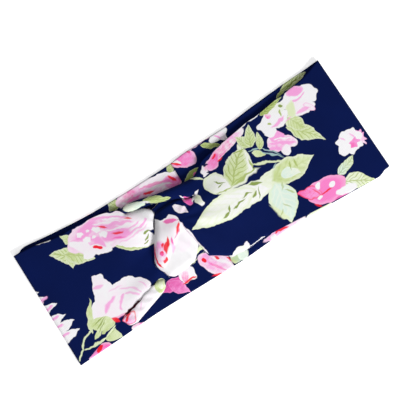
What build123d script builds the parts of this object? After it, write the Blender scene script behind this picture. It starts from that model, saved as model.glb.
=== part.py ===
from build123d import *
import os

os.makedirs("parts", exist_ok=True)

# A twist-knot headband of doubled stretch jersey, lying flat on its centre-back.
# +X runs along its length, +Y across its width and +Z up. The origin is on the surface that
# it lies on, under its middle. It is two strips. Each goes from the centre-back seam round
# one folded end to the knot, loops round the other strip there, and comes back under itself,
# so that it is two plies thick all the way. The strips are cut into nodes where they bend.

# Driving dimensions, in mm
LENGTH = 240.0  # from one folded end to the other
PLY = 0.7  # thickness of one ply of jersey
LOFT = 1.6  # air between the back band and the front, held open by the folded ends
GAP = 0.3  # clearance between pieces that move apart
HINGE_X = 46.0  # from the middle to where the back band and the front bend as it opens
KNOT_BUNDLE = 4.7  # thickness of the gathered left strip inside the knot
KNOT_WRAP = 3.7  # thickness of the gathered right strip over it
SEAM_ALLOWANCE = 5.0  # cloth turned in on each side of the centre-back seam
STITCH_LENGTH = 2.5
STITCH_PITCH = 2.9
THREAD = 0.3
SEAM_GAP = 0.1  # the line where the two strips meet
SEAM_SLOPE = 1.5  # run over which the inner ply rises on to the turned-in ends
RETURN_GAP = 0.4  # air between the back band and the strip that goes back beneath the knot
GATHER_RISE = 1.1  # how far the left plies rise as they bunch
BUNDLE_ROUNDING = 0.45  # corner radius of a gathered bundle, as a share of its thickness
WRAP_CHAMFER = 1.2

# Levels of the plies, worked out from the thicknesses
BACK_TOP = 2 * PLY
FRONT_BOTTOM = BACK_TOP + LOFT
FRONT_TOP = FRONT_BOTTOM + 2 * PLY
FOLD_AXIS_Z = FRONT_TOP / 2
SEAM_TOP = BACK_TOP + PLY
RETURN_BOTTOM = SEAM_TOP + RETURN_GAP
RETURN_TOP = RETURN_BOTTOM + PLY
BUNDLE_BOTTOM = RETURN_TOP + GAP
BUNDLE_TOP = BUNDLE_BOTTOM + KNOT_BUNDLE
WRAP_BOTTOM = BUNDLE_TOP + GAP
WRAP_TOP = WRAP_BOTTOM + KNOT_WRAP

# Places along the band
FOLD_X = LENGTH / 2 - FOLD_AXIS_Z  # centre line of the rounded fold at each end
BACK_CUT = HINGE_X - GAP / 2
SIDE_CUT = HINGE_X + GAP / 2
GATHER_END = 34.0  # the left panel's plies bunch into the two legs of its loop here
LEG_END = 0.0
BEND_END = 9.0  # far side of the left strip's loop
WRAP_END = 10.0  # the right panel's plies rise to the knot's top here

# Half widths: (distance from the middle, upper edge y, lower edge y)
BACK_EDGES = {
    "left": [(0.0, 38.5, -41.0), (60.0, 38.0, -40.5), (120.0, 42.0, -44.0)],
    "right": [(0.0, 38.5, -41.0), (60.0, 41.0, -39.5), (120.0, 44.0, -40.0)],
}
FRONT_EDGES = {
    "left": [(HINGE_X, 31.0, -30.0), (80.0, 35.5, -37.5), (105.0, 40.5, -41.5), (120.0, 42.0, -44.0)],
    "right": [(HINGE_X, 33.5, -37.3), (90.0, 39.5, -39.5), (120.0, 44.0, -40.0)],
}
SIDES = {"left": -1, "right": 1}

# Plan outlines inside the knot: the legs as (x, upper edge y, lower edge y), the rest as corners
UPPER_LEG = [(-GATHER_END, 28.5, 9.5), (-12, 27, 13), (LEG_END, 26, 13)]
LOWER_LEG = [(-GATHER_END, -10, -26), (-12, -12, -25), (LEG_END, -12, -24)]
LOOP_BEND_OUTLINE = [(LEG_END, 26), (6, 26), (BEND_END, 22), (BEND_END, -20), (6, -24), (LEG_END, -24)]
WRAP_OUTLINE = [
    (-28, 14), (-37, -1), (-44, -14), (-40, -25), (-18, -25), (WRAP_END, -33), (WRAP_END, 20), (-15, 17),
]
ROLL_OUTLINE = [(-34.3, 4), (-37, -1), (-43, -14), (-40, -24), (-34.3, -24)]
FRONT_EDGE_OUTLINE = [
    (-16, 5), (-12.5, -12), (-10.5, -26), (0, -33), (WRAP_END, -34.5), (WRAP_END, 24), (0, 16),
]


def edges_at(stations, distance):
    """Upper and lower edge at a distance from the middle, on straight runs between stations."""
    for (near, upper, lower), (far, upper_far, lower_far) in zip(stations, stations[1:]):
        if near <= distance <= far:
            share = (distance - near) / (far - near)
            return upper + share * (upper_far - upper), lower + share * (lower_far - lower)
    raise ValueError("distance is off the strip")


def strip_outline(stations, sign, near, far):
    """Corners of the stretch of a strip from near to far, both measured from the middle."""
    between = [station[0] for station in stations if near < station[0] < far]
    distances = [near, *between, far]
    edges = [edges_at(stations, distance) for distance in distances]
    upper = [(sign * distance, edge[0]) for distance, edge in zip(distances, edges)]
    lower = [(sign * distance, edge[1]) for distance, edge in zip(distances, edges)]
    return upper + lower[::-1]


def plate(outline, bottom, thickness):
    """Add a level plate of any plan outline to the piece being built."""
    with BuildSketch(Plane.XY.offset(bottom)) as plan:
        with BuildLine():
            Polyline(*outline, close=True)
        make_face()
    extrude(plan.sketch, amount=thickness)


def sloping_ply(start, end):
    """Add one ply between two sections, each (x, upper edge y, lower edge y, underside z)."""
    sections = []
    for x, upper, lower, bottom in (start, end):
        with BuildSketch(Plane.YZ.offset(x)) as section:
            with Locations(((upper + lower) / 2, bottom + PLY / 2)):
                Rectangle(upper - lower, PLY)
        sections.append(section.sketch)
    loft(sections, ruled=True)


def bundle(stations, bottom):
    """Add a gathered bundle through stations, each (x, upper edge y, lower edge y, thickness)."""
    sections = []
    for x, upper, lower, thickness in stations:
        with BuildSketch(Plane.YZ.offset(x)) as section:
            with Locations(((upper + lower) / 2, bottom + thickness / 2)):
                RectangleRounded(upper - lower, thickness, BUNDLE_ROUNDING * thickness)
        sections.append(section.sketch)
    loft(sections, ruled=True)


def save(piece, label):
    piece.part.label = label
    export_step(piece.part, f"parts/{label}.step")


# Centre-back: the plies, their turned-in ends and the stitches
for side, sign in SIDES.items():
    outline = strip_outline(BACK_EDGES[side], sign, SEAM_GAP / 2, BACK_CUT)

    with BuildPart() as outer_ply:
        plate(outline, 0, PLY)
    save(outer_ply, f"{side}_outer_ply_centre")

    # The inner ply rises over the turned-in ends.
    with BuildPart() as inner_ply:
        with BuildSketch(Plane.XZ):
            with BuildLine():
                slope_end = SEAM_ALLOWANCE + SEAM_SLOPE
                rise = [(BACK_CUT, PLY), (slope_end, PLY), (SEAM_ALLOWANCE, BACK_TOP), (0, BACK_TOP)]
                over = [(distance, height + PLY) for distance, height in reversed(rise)]
                Polyline(*[(sign * distance, height) for distance, height in rise + over], close=True)
            make_face()
        extrude(amount=LENGTH / 2, both=True)
        with BuildSketch(Plane.XY):
            with BuildLine():
                Polyline(*outline, close=True)
            make_face()
        extrude(amount=SEAM_TOP, mode=Mode.INTERSECT)
    save(inner_ply, f"{side}_inner_ply_centre")

    with BuildPart() as allowance:
        plate(strip_outline(BACK_EDGES[side], sign, THREAD, SEAM_ALLOWANCE), PLY, PLY)
    save(allowance, f"{side}_seam_allowance")

seam_upper, seam_lower = edges_at(BACK_EDGES["left"], 0)
stitch_count = int((seam_upper - seam_lower) / STITCH_PITCH)
with BuildPart() as seam_stitches:
    with Locations((0, (seam_upper + seam_lower) / 2, PLY + PLY / 2)):
        with GridLocations(0, STITCH_PITCH, 1, stitch_count):
            Cylinder(THREAD / 2, STITCH_LENGTH, rotation=(90, 0, 0))
save(seam_stitches, "seam_stitches")

# Each side: the back plies, the folded end in a lower and an upper half, and the front plies
OUTER_FOLD_RADIUS = FOLD_AXIS_Z
INNER_FOLD_RADIUS = FOLD_AXIS_Z - PLY
for side, sign in SIDES.items():
    back_outline = strip_outline(BACK_EDGES[side], sign, SIDE_CUT, FOLD_X)
    front_outline = strip_outline(FRONT_EDGES[side], sign, SIDE_CUT, FOLD_X)
    levels = {
        "outer_ply_back": (back_outline, 0),
        "inner_ply_back": (back_outline, PLY),
        "inner_ply_front": (front_outline, FRONT_BOTTOM),
        "outer_ply_front": (front_outline, FRONT_BOTTOM + PLY),
    }
    for name, (outline, bottom) in levels.items():
        with BuildPart() as ply:
            plate(outline, bottom, PLY)
        save(ply, f"{side}_{name}")

    end_upper, end_lower = edges_at(BACK_EDGES[side], LENGTH / 2)
    for ply_name, radius in (("outer", OUTER_FOLD_RADIUS), ("inner", INNER_FOLD_RADIUS)):
        for half, up in (("lower", -1), ("upper", 1)):
            with BuildPart() as fold:
                with BuildSketch(Plane.XZ.offset(-end_upper)):
                    with Locations((sign * FOLD_X, FOLD_AXIS_Z)):
                        Circle(radius)
                        Circle(radius - PLY, mode=Mode.SUBTRACT)
                    quarter_x = sign * (FOLD_X + radius / 2)
                    quarter_z = FOLD_AXIS_Z + up * (radius + GAP / 2) / 2
                    with Locations((quarter_x, quarter_z)):
                        Rectangle(radius, radius - GAP / 2, mode=Mode.INTERSECT)
                extrude(amount=end_upper - end_lower)
            save(fold, f"{side}_{ply_name}_fold_{half}")

# The roll of cloth along the left panel's lower edge, running into the knot
with BuildPart() as left_rolled_pleat:
    bundle([(-80, -30, -33, 0.9), (-68, -28.5, -35.5, 1.8), (-SIDE_CUT, -22, -29.5, 2.6)], FRONT_TOP)
save(left_rolled_pleat, "left_rolled_pleat")

# Left half of the knot: the plies gather, run in an upper and a lower leg on each side of the
# right strip's bend, and join in a bend of their own inside the right strip's loop.
left_upper, left_lower = edges_at(FRONT_EDGES["left"], HINGE_X)
for name, bottom in (("inner", FRONT_BOTTOM), ("outer", FRONT_BOTTOM + PLY)):
    with BuildPart() as gather:
        sloping_ply(
            (-BACK_CUT, left_upper, left_lower, bottom),
            (-GATHER_END, left_upper - 2, left_lower + 3, bottom + GATHER_RISE),
        )
    save(gather, f"left_{name}_ply_gather")

with BuildPart() as left_upper_leg:
    bundle([(x, upper, lower, KNOT_BUNDLE) for x, upper, lower in UPPER_LEG], BUNDLE_BOTTOM)
save(left_upper_leg, "left_upper_leg")

with BuildPart() as left_lower_leg:
    bundle([(x, upper, lower, KNOT_BUNDLE) for x, upper, lower in LOWER_LEG], BUNDLE_BOTTOM)
save(left_lower_leg, "left_lower_leg")

with BuildPart() as left_loop_bend:
    plate(LOOP_BEND_OUTLINE, BUNDLE_BOTTOM, KNOT_BUNDLE)
    far_edges = left_loop_bend.edges().filter_by(Axis.Y).sort_by(Axis.X)[-2:]
    fillet(far_edges, BUNDLE_ROUNDING * KNOT_BUNDLE)
save(left_loop_bend, "left_loop_bend")

# Right half of the knot: the gathered strip lies over the left strip's bend, turns down
# between its legs, and goes back beneath it as the inner ply.
RETURN_LEFT = -28.0
BEND_LEFT = -33.3
BEND_HALF_WIDTH = 8.0
RETURN_RIGHT = 12.0
RETURN_UPPER = 22.0
RETURN_LOWER = -24.0

with BuildPart() as right_knot_wrap:
    plate(WRAP_OUTLINE, WRAP_BOTTOM, KNOT_WRAP)
    rim = right_knot_wrap.edges().group_by(Axis.Z)[-1]
    chamfer(rim.sort_by(Axis.X)[:-1], WRAP_CHAMFER)
save(right_knot_wrap, "right_knot_wrap")

with BuildPart() as right_wrap_roll:
    roll_bottom = FRONT_TOP + GATHER_RISE + RETURN_GAP
    plate(ROLL_OUTLINE, roll_bottom, WRAP_BOTTOM - roll_bottom)
save(right_wrap_roll, "right_wrap_roll")

with BuildPart() as right_front_edge:
    plate(FRONT_EDGE_OUTLINE, WRAP_TOP, 2 * PLY)
save(right_front_edge, "right_front_edge")

with BuildPart() as right_loop_bend:
    with BuildSketch(Plane.XY.offset(RETURN_BOTTOM)):
        with Locations(((BEND_LEFT + RETURN_LEFT) / 2, 0)):
            RectangleRounded(RETURN_LEFT - BEND_LEFT, 2 * BEND_HALF_WIDTH, 2.0)
    extrude(amount=WRAP_BOTTOM - RETURN_BOTTOM)
save(right_loop_bend, "right_loop_bend")

with BuildPart() as right_return_leg:
    plate(
        [
            (RETURN_LEFT, BEND_HALF_WIDTH),
            (RETURN_RIGHT, RETURN_UPPER),
            (RETURN_RIGHT, RETURN_LOWER),
            (RETURN_LEFT, -BEND_HALF_WIDTH),
        ],
        RETURN_BOTTOM,
        PLY,
    )
save(right_return_leg, "right_return_leg")

right_upper, right_lower = edges_at(FRONT_EDGES["right"], HINGE_X)
with BuildPart() as right_inner_ply_gather:
    sloping_ply(
        (RETURN_RIGHT, RETURN_UPPER, RETURN_LOWER, RETURN_BOTTOM),
        (BACK_CUT, right_upper, right_lower, FRONT_BOTTOM),
    )
save(right_inner_ply_gather, "right_inner_ply_gather")

with BuildPart() as right_outer_ply_gather:
    sloping_ply(
        (WRAP_END, 25, -34.5, WRAP_TOP + PLY),
        (BACK_CUT, right_upper, right_lower, FRONT_BOTTOM + PLY),
    )
save(right_outer_ply_gather, "right_outer_ply_gather")
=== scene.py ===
import math

import bpy
import numpy as np
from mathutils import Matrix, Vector
from mathutils.geometry import delaunay_2d_cdt


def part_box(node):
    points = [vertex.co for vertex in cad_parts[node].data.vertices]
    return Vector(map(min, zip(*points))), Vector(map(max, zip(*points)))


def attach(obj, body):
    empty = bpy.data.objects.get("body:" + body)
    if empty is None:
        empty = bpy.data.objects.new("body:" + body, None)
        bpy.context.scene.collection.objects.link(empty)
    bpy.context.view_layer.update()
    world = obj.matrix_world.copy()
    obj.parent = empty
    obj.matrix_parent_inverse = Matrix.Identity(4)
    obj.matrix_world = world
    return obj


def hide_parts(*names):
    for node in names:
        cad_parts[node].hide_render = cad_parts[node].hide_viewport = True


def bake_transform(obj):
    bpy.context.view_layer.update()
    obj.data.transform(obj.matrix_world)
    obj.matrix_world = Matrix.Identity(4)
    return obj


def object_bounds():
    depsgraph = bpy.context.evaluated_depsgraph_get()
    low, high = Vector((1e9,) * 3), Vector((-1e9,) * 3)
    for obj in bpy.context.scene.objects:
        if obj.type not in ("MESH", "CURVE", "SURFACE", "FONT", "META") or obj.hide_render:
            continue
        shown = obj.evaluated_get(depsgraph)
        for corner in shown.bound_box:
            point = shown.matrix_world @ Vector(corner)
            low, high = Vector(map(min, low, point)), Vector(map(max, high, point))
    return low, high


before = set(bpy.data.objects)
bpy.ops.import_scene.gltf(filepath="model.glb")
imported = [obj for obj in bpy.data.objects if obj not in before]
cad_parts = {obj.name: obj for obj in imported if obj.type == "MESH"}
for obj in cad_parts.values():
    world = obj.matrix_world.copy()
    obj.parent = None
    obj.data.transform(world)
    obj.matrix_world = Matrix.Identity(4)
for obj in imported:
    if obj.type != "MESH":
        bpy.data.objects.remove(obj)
cad_low, cad_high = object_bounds()

# A twist-knot headband of doubled printed jersey, lying flat. Everything here is in millimetres in
# the row's frame, and is turned into metres when a mesh is made. +X runs along the band, +Y across
# it, +Z up. Two strips of cloth go from the centre-back seam round a folded end to the knot.
MM = 0.001

# ---- Levels and places, read from the CAD frame ----


def node_box(node):
    """Lowest and highest corner of a CAD node, in millimetres."""
    low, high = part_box(node)
    return np.array(low) / MM, np.array(high) / MM


PLY = node_box("left_outer_ply_back")[1][2]
BACK_TOP = node_box("left_inner_ply_back")[1][2]
FRONT_BOTTOM = node_box("left_inner_ply_front")[0][2]
FRONT_TOP = node_box("left_outer_ply_front")[1][2]
HALF_LENGTH = cad_high[0] / MM
FOLD_RADIUS = FRONT_TOP / 2
FOLD_X = HALF_LENGTH - FOLD_RADIUS
TURNED_IN = node_box("right_seam_allowance")[1][0]
THREAD = node_box("seam_stitches")[1][0] * 2
KNOT_FLOOR = node_box("left_lower_leg")[0][2] + 0.1
STITCH_PITCH = 2.9

CLOTH = 0.55  # thickness of the jersey as it is shown
BUNCHED_CLOTH = {"left_knot_loop": 0.45, "right_front_inner_ply": 0.5}  # squeezed inside the knot
KNIT_WALE = 0.9  # width of one column of knit loops
KNIT_COURSE = 0.75  # height of one row of knit loops
SPRAY_SPACING = 31  # between the loose sprays of blossom
UV_SCALE = 100  # millimetres of cloth to one unit of the texture coordinates
OUTER_PRINT_END = 141  # sprays take over from here along the outer ply, round the fold
INNER_PRINT_END = 131  # the same along the inner ply
COVERED_HALF = 9.5  # on the back, sprays also fill this far each side of the middle, under the front
PLAIN_GROUND = 200  # this far across, the cloth of the bunched strip is plain navy
BUNCH_START = 170  # where the bunched strip starts along the cloth
TURNED_IN_START = 260  # where the turned-in end starts along the cloth
CUT_X = 83.0  # where the pieces of one strip meet, clear of both bends
SEAM_LIFT = 0.9 * PLY  # the inner ply rises this far over the turned-in ends
END_RADIUS = {"outer": FOLD_RADIUS, "inner": FOLD_RADIUS - 2 * PLY}
END_LENGTH = {name: 2 * (FOLD_X - CUT_X) + math.pi * radius for name, radius in END_RADIUS.items()}
FOLD_LEAN = {"left": (0.0, 0.5), "right": (-1.8, 1.4)}  # how far the end leans at its top and bottom
SIDES = {"left": -1, "right": 1}

# ---- Small mathematics ----


def ease(start, end, value):
    """Smooth step from 0 at start to 1 at end; start may be above end."""
    share = np.clip((np.asarray(value, float) - start) / (end - start), 0, 1)
    return share * share * (3 - 2 * share)


def bell(value, centre, width):
    return np.exp(-(((np.asarray(value, float) - centre) / width) ** 2))


def through(points, step):
    """A smooth curve through the points, sampled about every step (Catmull-Rom)."""
    points = np.array(points, float)
    padded = np.vstack([2 * points[0] - points[1], points, 2 * points[-1] - points[-2]])
    made = []
    for before, a, b, after in zip(padded, padded[1:], padded[2:], padded[3:]):
        count = max(1, round(np.linalg.norm(b - a) / step))
        for share in np.arange(count) / count:
            square, cube = share**2, share**3
            made.append(
                0.5 * (2 * a + (b - before) * share
                       + (2 * before - 5 * a + 4 * b - after) * square
                       + (3 * a - before - 3 * b + after) * cube)
            )
    made.append(points[-1])
    return np.array(made)


def straight(start, end, step):
    """Evenly spaced points from start to end."""
    start, end = np.array(start, float), np.array(end, float)
    count = max(1, round(np.linalg.norm(end - start) / step))
    return start + (end - start) * (np.arange(count + 1) / count)[:, None]


def ripple(x, y, scale, seed):
    """A smooth uneven wave between about -1 and 1, from a few sines at odd angles."""
    total = 0
    for i, (turn, stretch) in enumerate(((0.3, 1.0), (1.9, 1.31), (2.7, 0.77), (1.2, 1.73))):
        along = (x * math.cos(turn) + y * math.sin(turn)) * stretch / scale
        total = total + np.sin(2 * math.pi * along + seed * (i + 1.7))
    return total / 4


def nearest_on(path, points):
    """Distance from each point to a path of straight runs, and the nearest place on it."""
    best = np.full(len(points), 1e9)
    place = np.zeros((len(points), 2))
    for a, b in zip(path, path[1:]):
        run = b - a
        share = np.clip(((points - a) @ run) / max(run @ run, 1e-12), 0, 1)
        on = a + share[:, None] * run
        distance = np.linalg.norm(points - on, axis=1)
        closer = distance < best
        best[closer] = distance[closer]
        place[closer] = on[closer]
    return best, place


# ---- Outlines of the band ----

# (distance from the middle, y) along each long edge
BACK_UPPER = {"left": [(0, 38.4), (20, 38.0), (60, 38.2), (90, 40.6), (111, 43.0), (115, 41.6), (120, 41.4)],
              "right": [(0, 38.4), (12, 39.6), (42, 40.0), (60, 41.4), (87, 43.3), (107, 44.0), (120, 44.8)]}
BACK_LOWER = {"left": [(0, -41.0), (30, -40.7), (60, -40.6), (90, -42.0), (120, -43.2)],
              "right": [(0, -41.0), (12, -40.8), (40, -39.2), (60, -39.5), (90, -40.8), (111, -41.7),
                        (115, -40.0), (120, -39.5)]}
FRONT_UPPER = {"left": [(83, 36.5), (92, 37.4), (105, 40.1), (112, 40.9), (120, 41.4)],
               "right": [(83, 37.7), (90, 38.4), (102, 39.6), (109, 41.2), (120, 44.8)]}
FRONT_LOWER = {"left": [(83, -32.2), (90, -34.4), (98, -37.1), (105, -39.4), (113, -42.0), (120, -43.2)],
               "right": [(83, -39.7), (92, -40.4), (105, -41.3), (111, -41.7), (115, -40.0), (120, -39.5)]}


def edge_y(stations, distance):
    """The edge's y at each distance from the middle, on a smooth curve through the stations."""
    path = through(stations, 2.0)
    return np.interp(distance, path[:, 0], path[:, 1])


# ---- Making meshes ----


class Surface:
    """One face of a sheet as vertices, polygons and cloth coordinates, all in millimetres."""

    def __init__(self):
        self.points, self.cloth, self.faces = [], [], []

    def add(self, points, cloth, faces):
        first = len(self.points)
        self.points += [tuple(point) for point in points]
        self.cloth += [tuple(place) for place in cloth]
        self.faces += [tuple(first + i for i in face) for face in faces]

    def add_grid(self, points, cloth):
        """A grid of rows by columns; the face looks along (next column) x (next row)."""
        rows, columns = points.shape[:2]
        faces = []
        for r in range(rows - 1):
            for c in range(columns - 1):
                i = r * columns + c
                faces.append((i, i + 1, i + columns + 1, i + columns))
        self.add(points.reshape(-1, 3), cloth.reshape(-1, 2), faces)


def make_sheet(name, surface, print_material, reverse_material, thickness=CLOTH):
    """A sheet of cloth: the surface is its printed face, and the reverse is a thickness behind."""
    welded, index, order = {}, [], []
    for point in surface.points:
        key = tuple(round(value * 50) for value in point)
        if key not in welded:
            welded[key] = len(order)
            order.append(point)
        index.append(welded[key])
    mesh = bpy.data.meshes.new(name)
    mesh.from_pydata([Vector(point) * MM for point in order], [],
                     [[index[i] for i in face] for face in surface.faces])
    layer = mesh.uv_layers.new(name="cloth")
    corners = [surface.cloth[i] for face in surface.faces for i in face]
    layer.data.foreach_set("uv", np.array(corners, float).ravel() / UV_SCALE)
    mesh.materials.append(print_material)
    mesh.materials.append(reverse_material)
    mesh.shade_smooth()
    piece = bpy.data.objects.new(name, mesh)
    bpy.context.collection.objects.link(piece)
    solid = piece.modifiers.new("thickness", "SOLIDIFY")
    solid.thickness = thickness * MM
    solid.offset = -1
    solid.material_offset = 1
    solid.use_quality_normals = True
    apply_modifiers(piece)
    sharpen_cut(piece)
    return piece


def apply_modifiers(piece):
    shown = piece.evaluated_get(bpy.context.evaluated_depsgraph_get())
    mesh = bpy.data.meshes.new_from_object(shown)
    piece.modifiers.clear()
    piece.data = mesh


def sharpen_cut(piece):
    """Keeps the shading flat up to the ends where one strip's pieces meet."""
    mesh = piece.data
    at_cut = [abs(abs(v.co.x) - CUT_X * MM) < 1e-6 for v in mesh.vertices]
    for edge in mesh.edges:
        if at_cut[edge.vertices[0]] and at_cut[edge.vertices[1]]:
            edge.use_edge_sharp = True


def fill_outline(outline, step):
    """Triangles over a closed outline: its own points, rings just inside it, and a grid."""
    outline = np.array(outline, float)
    closed = np.vstack([outline, outline[:1]])
    low, high = outline.min(0), outline.max(0)
    rows = np.arange(low[1], high[1], step * 0.866)
    grid = [
        (x, y)
        for number, y in enumerate(rows)
        for x in np.arange(low[0] + (number % 2) * step / 2, high[0], step)
    ]
    grid = np.array(grid)
    distance, _ = nearest_on(closed, grid)
    grid = grid[distance > 1.9]
    after, before = np.roll(outline, -1, 0), np.roll(outline, 1, 0)
    along = after - before
    inward = np.stack([-along[:, 1], along[:, 0]], 1) / np.linalg.norm(along, axis=1)[:, None]
    rings = [grid]
    for offset in (0.25, 0.7, 1.35):
        ring = outline + inward * offset
        distance, _ = nearest_on(closed, ring)
        rings.append(ring[distance > 0.85 * offset])
    inner = np.vstack(rings)
    count = len(outline)
    vertices = [Vector(p) for p in np.vstack([outline, inner])]
    edges = [(i, (i + 1) % count) for i in range(count)]
    verts, _, faces, _, _, _ = delaunay_2d_cdt(vertices, edges, [list(range(count))], 1, 1e-4)
    return np.array([tuple(v) for v in verts]), [tuple(face) for face in faces]


def rolled(points, height, rolls):
    """Lowers a height field towards the edges that roll over, and says where the cloth is.

    rolls holds (path, radius): within the radius of the path the sheet turns down on an arc.
    """
    drop = np.zeros(len(points))
    shift = np.zeros((len(points), 2))
    for path, radius in rolls:
        distance, place = nearest_on(path, points)
        inside = np.clip(1 - distance / radius, 0, 1)
        lower = radius * (1 - np.sqrt(1 - np.minimum(inside, 0.999) ** 2))
        outward = place - points
        outward /= np.maximum(np.linalg.norm(outward, axis=1), 1e-6)[:, None]
        extra = radius * (np.arcsin(inside) - inside)
        stronger = lower > drop
        drop[stronger] = lower[stronger]
        shift[stronger] = (outward * extra[:, None])[stronger]
    return height - drop, points + shift


def add_skirt(surface, path, height_at, radius, turn, inward_sign=1):
    """Carries a rolled edge on, under the sheet, through turn degrees of an arc."""
    path = np.array(path, float)
    along = np.gradient(path, axis=0)
    inward = np.stack([-along[:, 1], along[:, 0]], 1) * inward_sign
    inward /= np.linalg.norm(inward, axis=1)[:, None]
    top, cloth = height_at(path)
    rows, places = [], []
    for angle in np.radians(np.linspace(0, turn, 6)):
        under = path + inward * radius * (1 - math.cos(angle))
        rows.append(np.column_stack([under, top - radius * math.sin(angle)]))
        places.append(cloth - inward * radius * angle)
    rows, places = np.array(rows), np.array(places)
    if inward_sign > 0:
        rows, places = rows[::-1], places[::-1]
    surface.add_grid(rows, places)


def add_plan(surface, outline, height_at, step):
    points, faces = fill_outline(outline, step)
    height, cloth = height_at(points)
    surface.add(np.column_stack([points, height]), cloth, faces)


# ---- Materials: the printed jersey is painted motif by motif in cloth millimetres ----


class Tree:
    """Adds nodes to a node tree, with their inputs given as values or as sockets."""

    def __init__(self, tree):
        self.tree = tree

    def node(self, kind, *values, **settings):
        made = self.tree.nodes.new(kind)
        for name, value in settings.items():
            setattr(made, name, value)
        for socket, value in zip(made.inputs, values):
            self.feed(socket, value)
        return made

    def feed(self, socket, value):
        if isinstance(value, bpy.types.NodeSocket):
            self.tree.links.new(value, socket)
        elif value is not None:
            socket.default_value = value

    def math(self, operation, *values):
        return self.node("ShaderNodeMath", *values, operation=operation).outputs[0]

    def scaled(self, vector, factors):
        return self.node("ShaderNodeVectorMath", vector, factors, operation="MULTIPLY").outputs["Vector"]

    def step(self, value, low, high, start=0.0, end=1.0):
        made = self.node("ShaderNodeMapRange", value, low, high, start, end, clamp=False,
                         interpolation_type="SMOOTHSTEP")
        return made.outputs[0]

    def mix(self, share, under, over):
        made = self.tree.nodes.new("ShaderNodeMix")
        made.data_type = "RGBA"
        self.feed(made.inputs[0], share)
        self.feed(made.inputs[6], under)
        self.feed(made.inputs[7], over)
        return made.outputs[2]


def opaque(colour):
    return (*colour, 1.0)


def toned(colour, factor):
    return opaque(tuple(factor * part for part in colour))


COLOUR, NUMBER = "NodeSocketColor", "NodeSocketFloat"
PLACE = [(name, NUMBER)
         for name in ("X", "Y", "Along X", "Along Y", "Along", "Across X", "Across Y", "Across")]


def motif_group(name, sockets, build):
    """A node group that paints one motif over the colour under it.

    Its own coordinates run from -1 to 1 along and across the motif. They are plain numbers and no
    vectors, and each node comes after those it needs, so that a long chain of motifs stays small
    enough for the renderer.
    """
    group = bpy.data.node_groups.new(name, "ShaderNodeTree")
    for socket, kind in PLACE + sockets:
        group.interface.new_socket(socket, in_out="INPUT", socket_type=kind)
    group.interface.new_socket("Colour", in_out="OUTPUT", socket_type="NodeSocketColor")
    tree = Tree(group)
    entry = group.nodes.new("NodeGroupInput")
    given = {socket: entry.outputs[socket] for socket, _ in PLACE + sockets}
    x, y = (
        tree.math("MULTIPLY_ADD", given["X"], given[f"{way} X"],
                  tree.math("MULTIPLY_ADD", given["Y"], given[f"{way} Y"], given[way]))
        for way in ("Along", "Across")
    )
    result = build(tree, given, x, y)
    leave = group.nodes.new("NodeGroupOutput")
    group.links.new(result, leave.inputs[0])
    return group


def bent(tree, given, x, y):
    """Distance across from a centre line that bows by Bend, and how full the shape is there."""
    taper = tree.math("SUBTRACT", 1.0, tree.math("MULTIPLY", x, x))
    return tree.math("SUBTRACT", y, tree.math("MULTIPLY", taper, given["Bend"])), taper


def build_leaf(tree, given, x, y):
    side, taper = bent(tree, given, x, y)
    away = tree.math("ABSOLUTE", side)
    base_wider = tree.math("MAXIMUM", tree.math("MULTIPLY_ADD", x, -0.3, 1.0), 0.0)
    fuller = tree.math("MULTIPLY", taper, base_wider)
    depth = tree.math("SUBTRACT", fuller, away)
    inside = tree.step(depth, 0.0, given["Soft"])
    washed = tree.math("ADD", tree.math("MULTIPLY_ADD", x, 0.5, 0.5), given["Wash"])
    colour = tree.mix(washed, given["Base"], given["Tip"])
    rib = tree.step(away, 0.1, 0.03)
    slant = tree.math("SUBTRACT", tree.math("MULTIPLY", x, 22.0), tree.math("MULTIPLY", away, 13.0))
    rays = tree.step(tree.math("SINE", slant), 0.45, 0.95)
    veined = tree.math("MULTIPLY", tree.math("MAXIMUM", rib, rays), given["Veins"])
    colour = tree.mix(veined, colour, given["Vein"])
    rim = tree.math("MULTIPLY", tree.step(depth, 0.32, 0.05), given["Rim"])
    colour = tree.mix(rim, colour, given["Edge"])
    return tree.mix(inside, given["Under"], colour)


def build_petal(tree, given, x, y):
    around = tree.math("MULTIPLY_ADD", tree.math("ARCTAN2", y, x), given["Lobes"], given["Turn"])
    wave = tree.math("MULTIPLY_ADD", tree.math("SINE", around), given["Ruffle"], 1.0)
    square = tree.math("MULTIPLY_ADD", y, y, tree.math("MULTIPLY", x, x))
    reach = tree.math("MULTIPLY", tree.math("SQRT", square), wave)
    inside = tree.step(reach, 1.0, tree.math("SUBTRACT", 1.0, given["Soft"]))
    streak = tree.math("MULTIPLY_ADD", tree.math("SINE", tree.math("MULTIPLY", y, 14.0)), 0.1, given["Wash"])
    washed = tree.math("ADD", tree.math("MULTIPLY_ADD", x, 0.5, 0.5), streak)
    colour = tree.mix(washed, given["Base"], given["Tip"])
    rim = tree.math("MULTIPLY", tree.step(reach, 0.66, 0.95), given["Rim"])
    colour = tree.mix(rim, colour, given["Edge"])
    return tree.mix(inside, given["Under"], colour)


def build_stroke(tree, given, x, y):
    side, taper = bent(tree, given, x, y)
    full = tree.math("MINIMUM", tree.math("MULTIPLY", taper, given["Even"]), 1.0)
    depth = tree.math("SUBTRACT", full, tree.math("ABSOLUTE", side))
    inside = tree.math("MULTIPLY", tree.step(depth, 0.0, given["Soft"]), given["Strength"])
    return tree.mix(inside, given["Under"], given["Base"])


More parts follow.
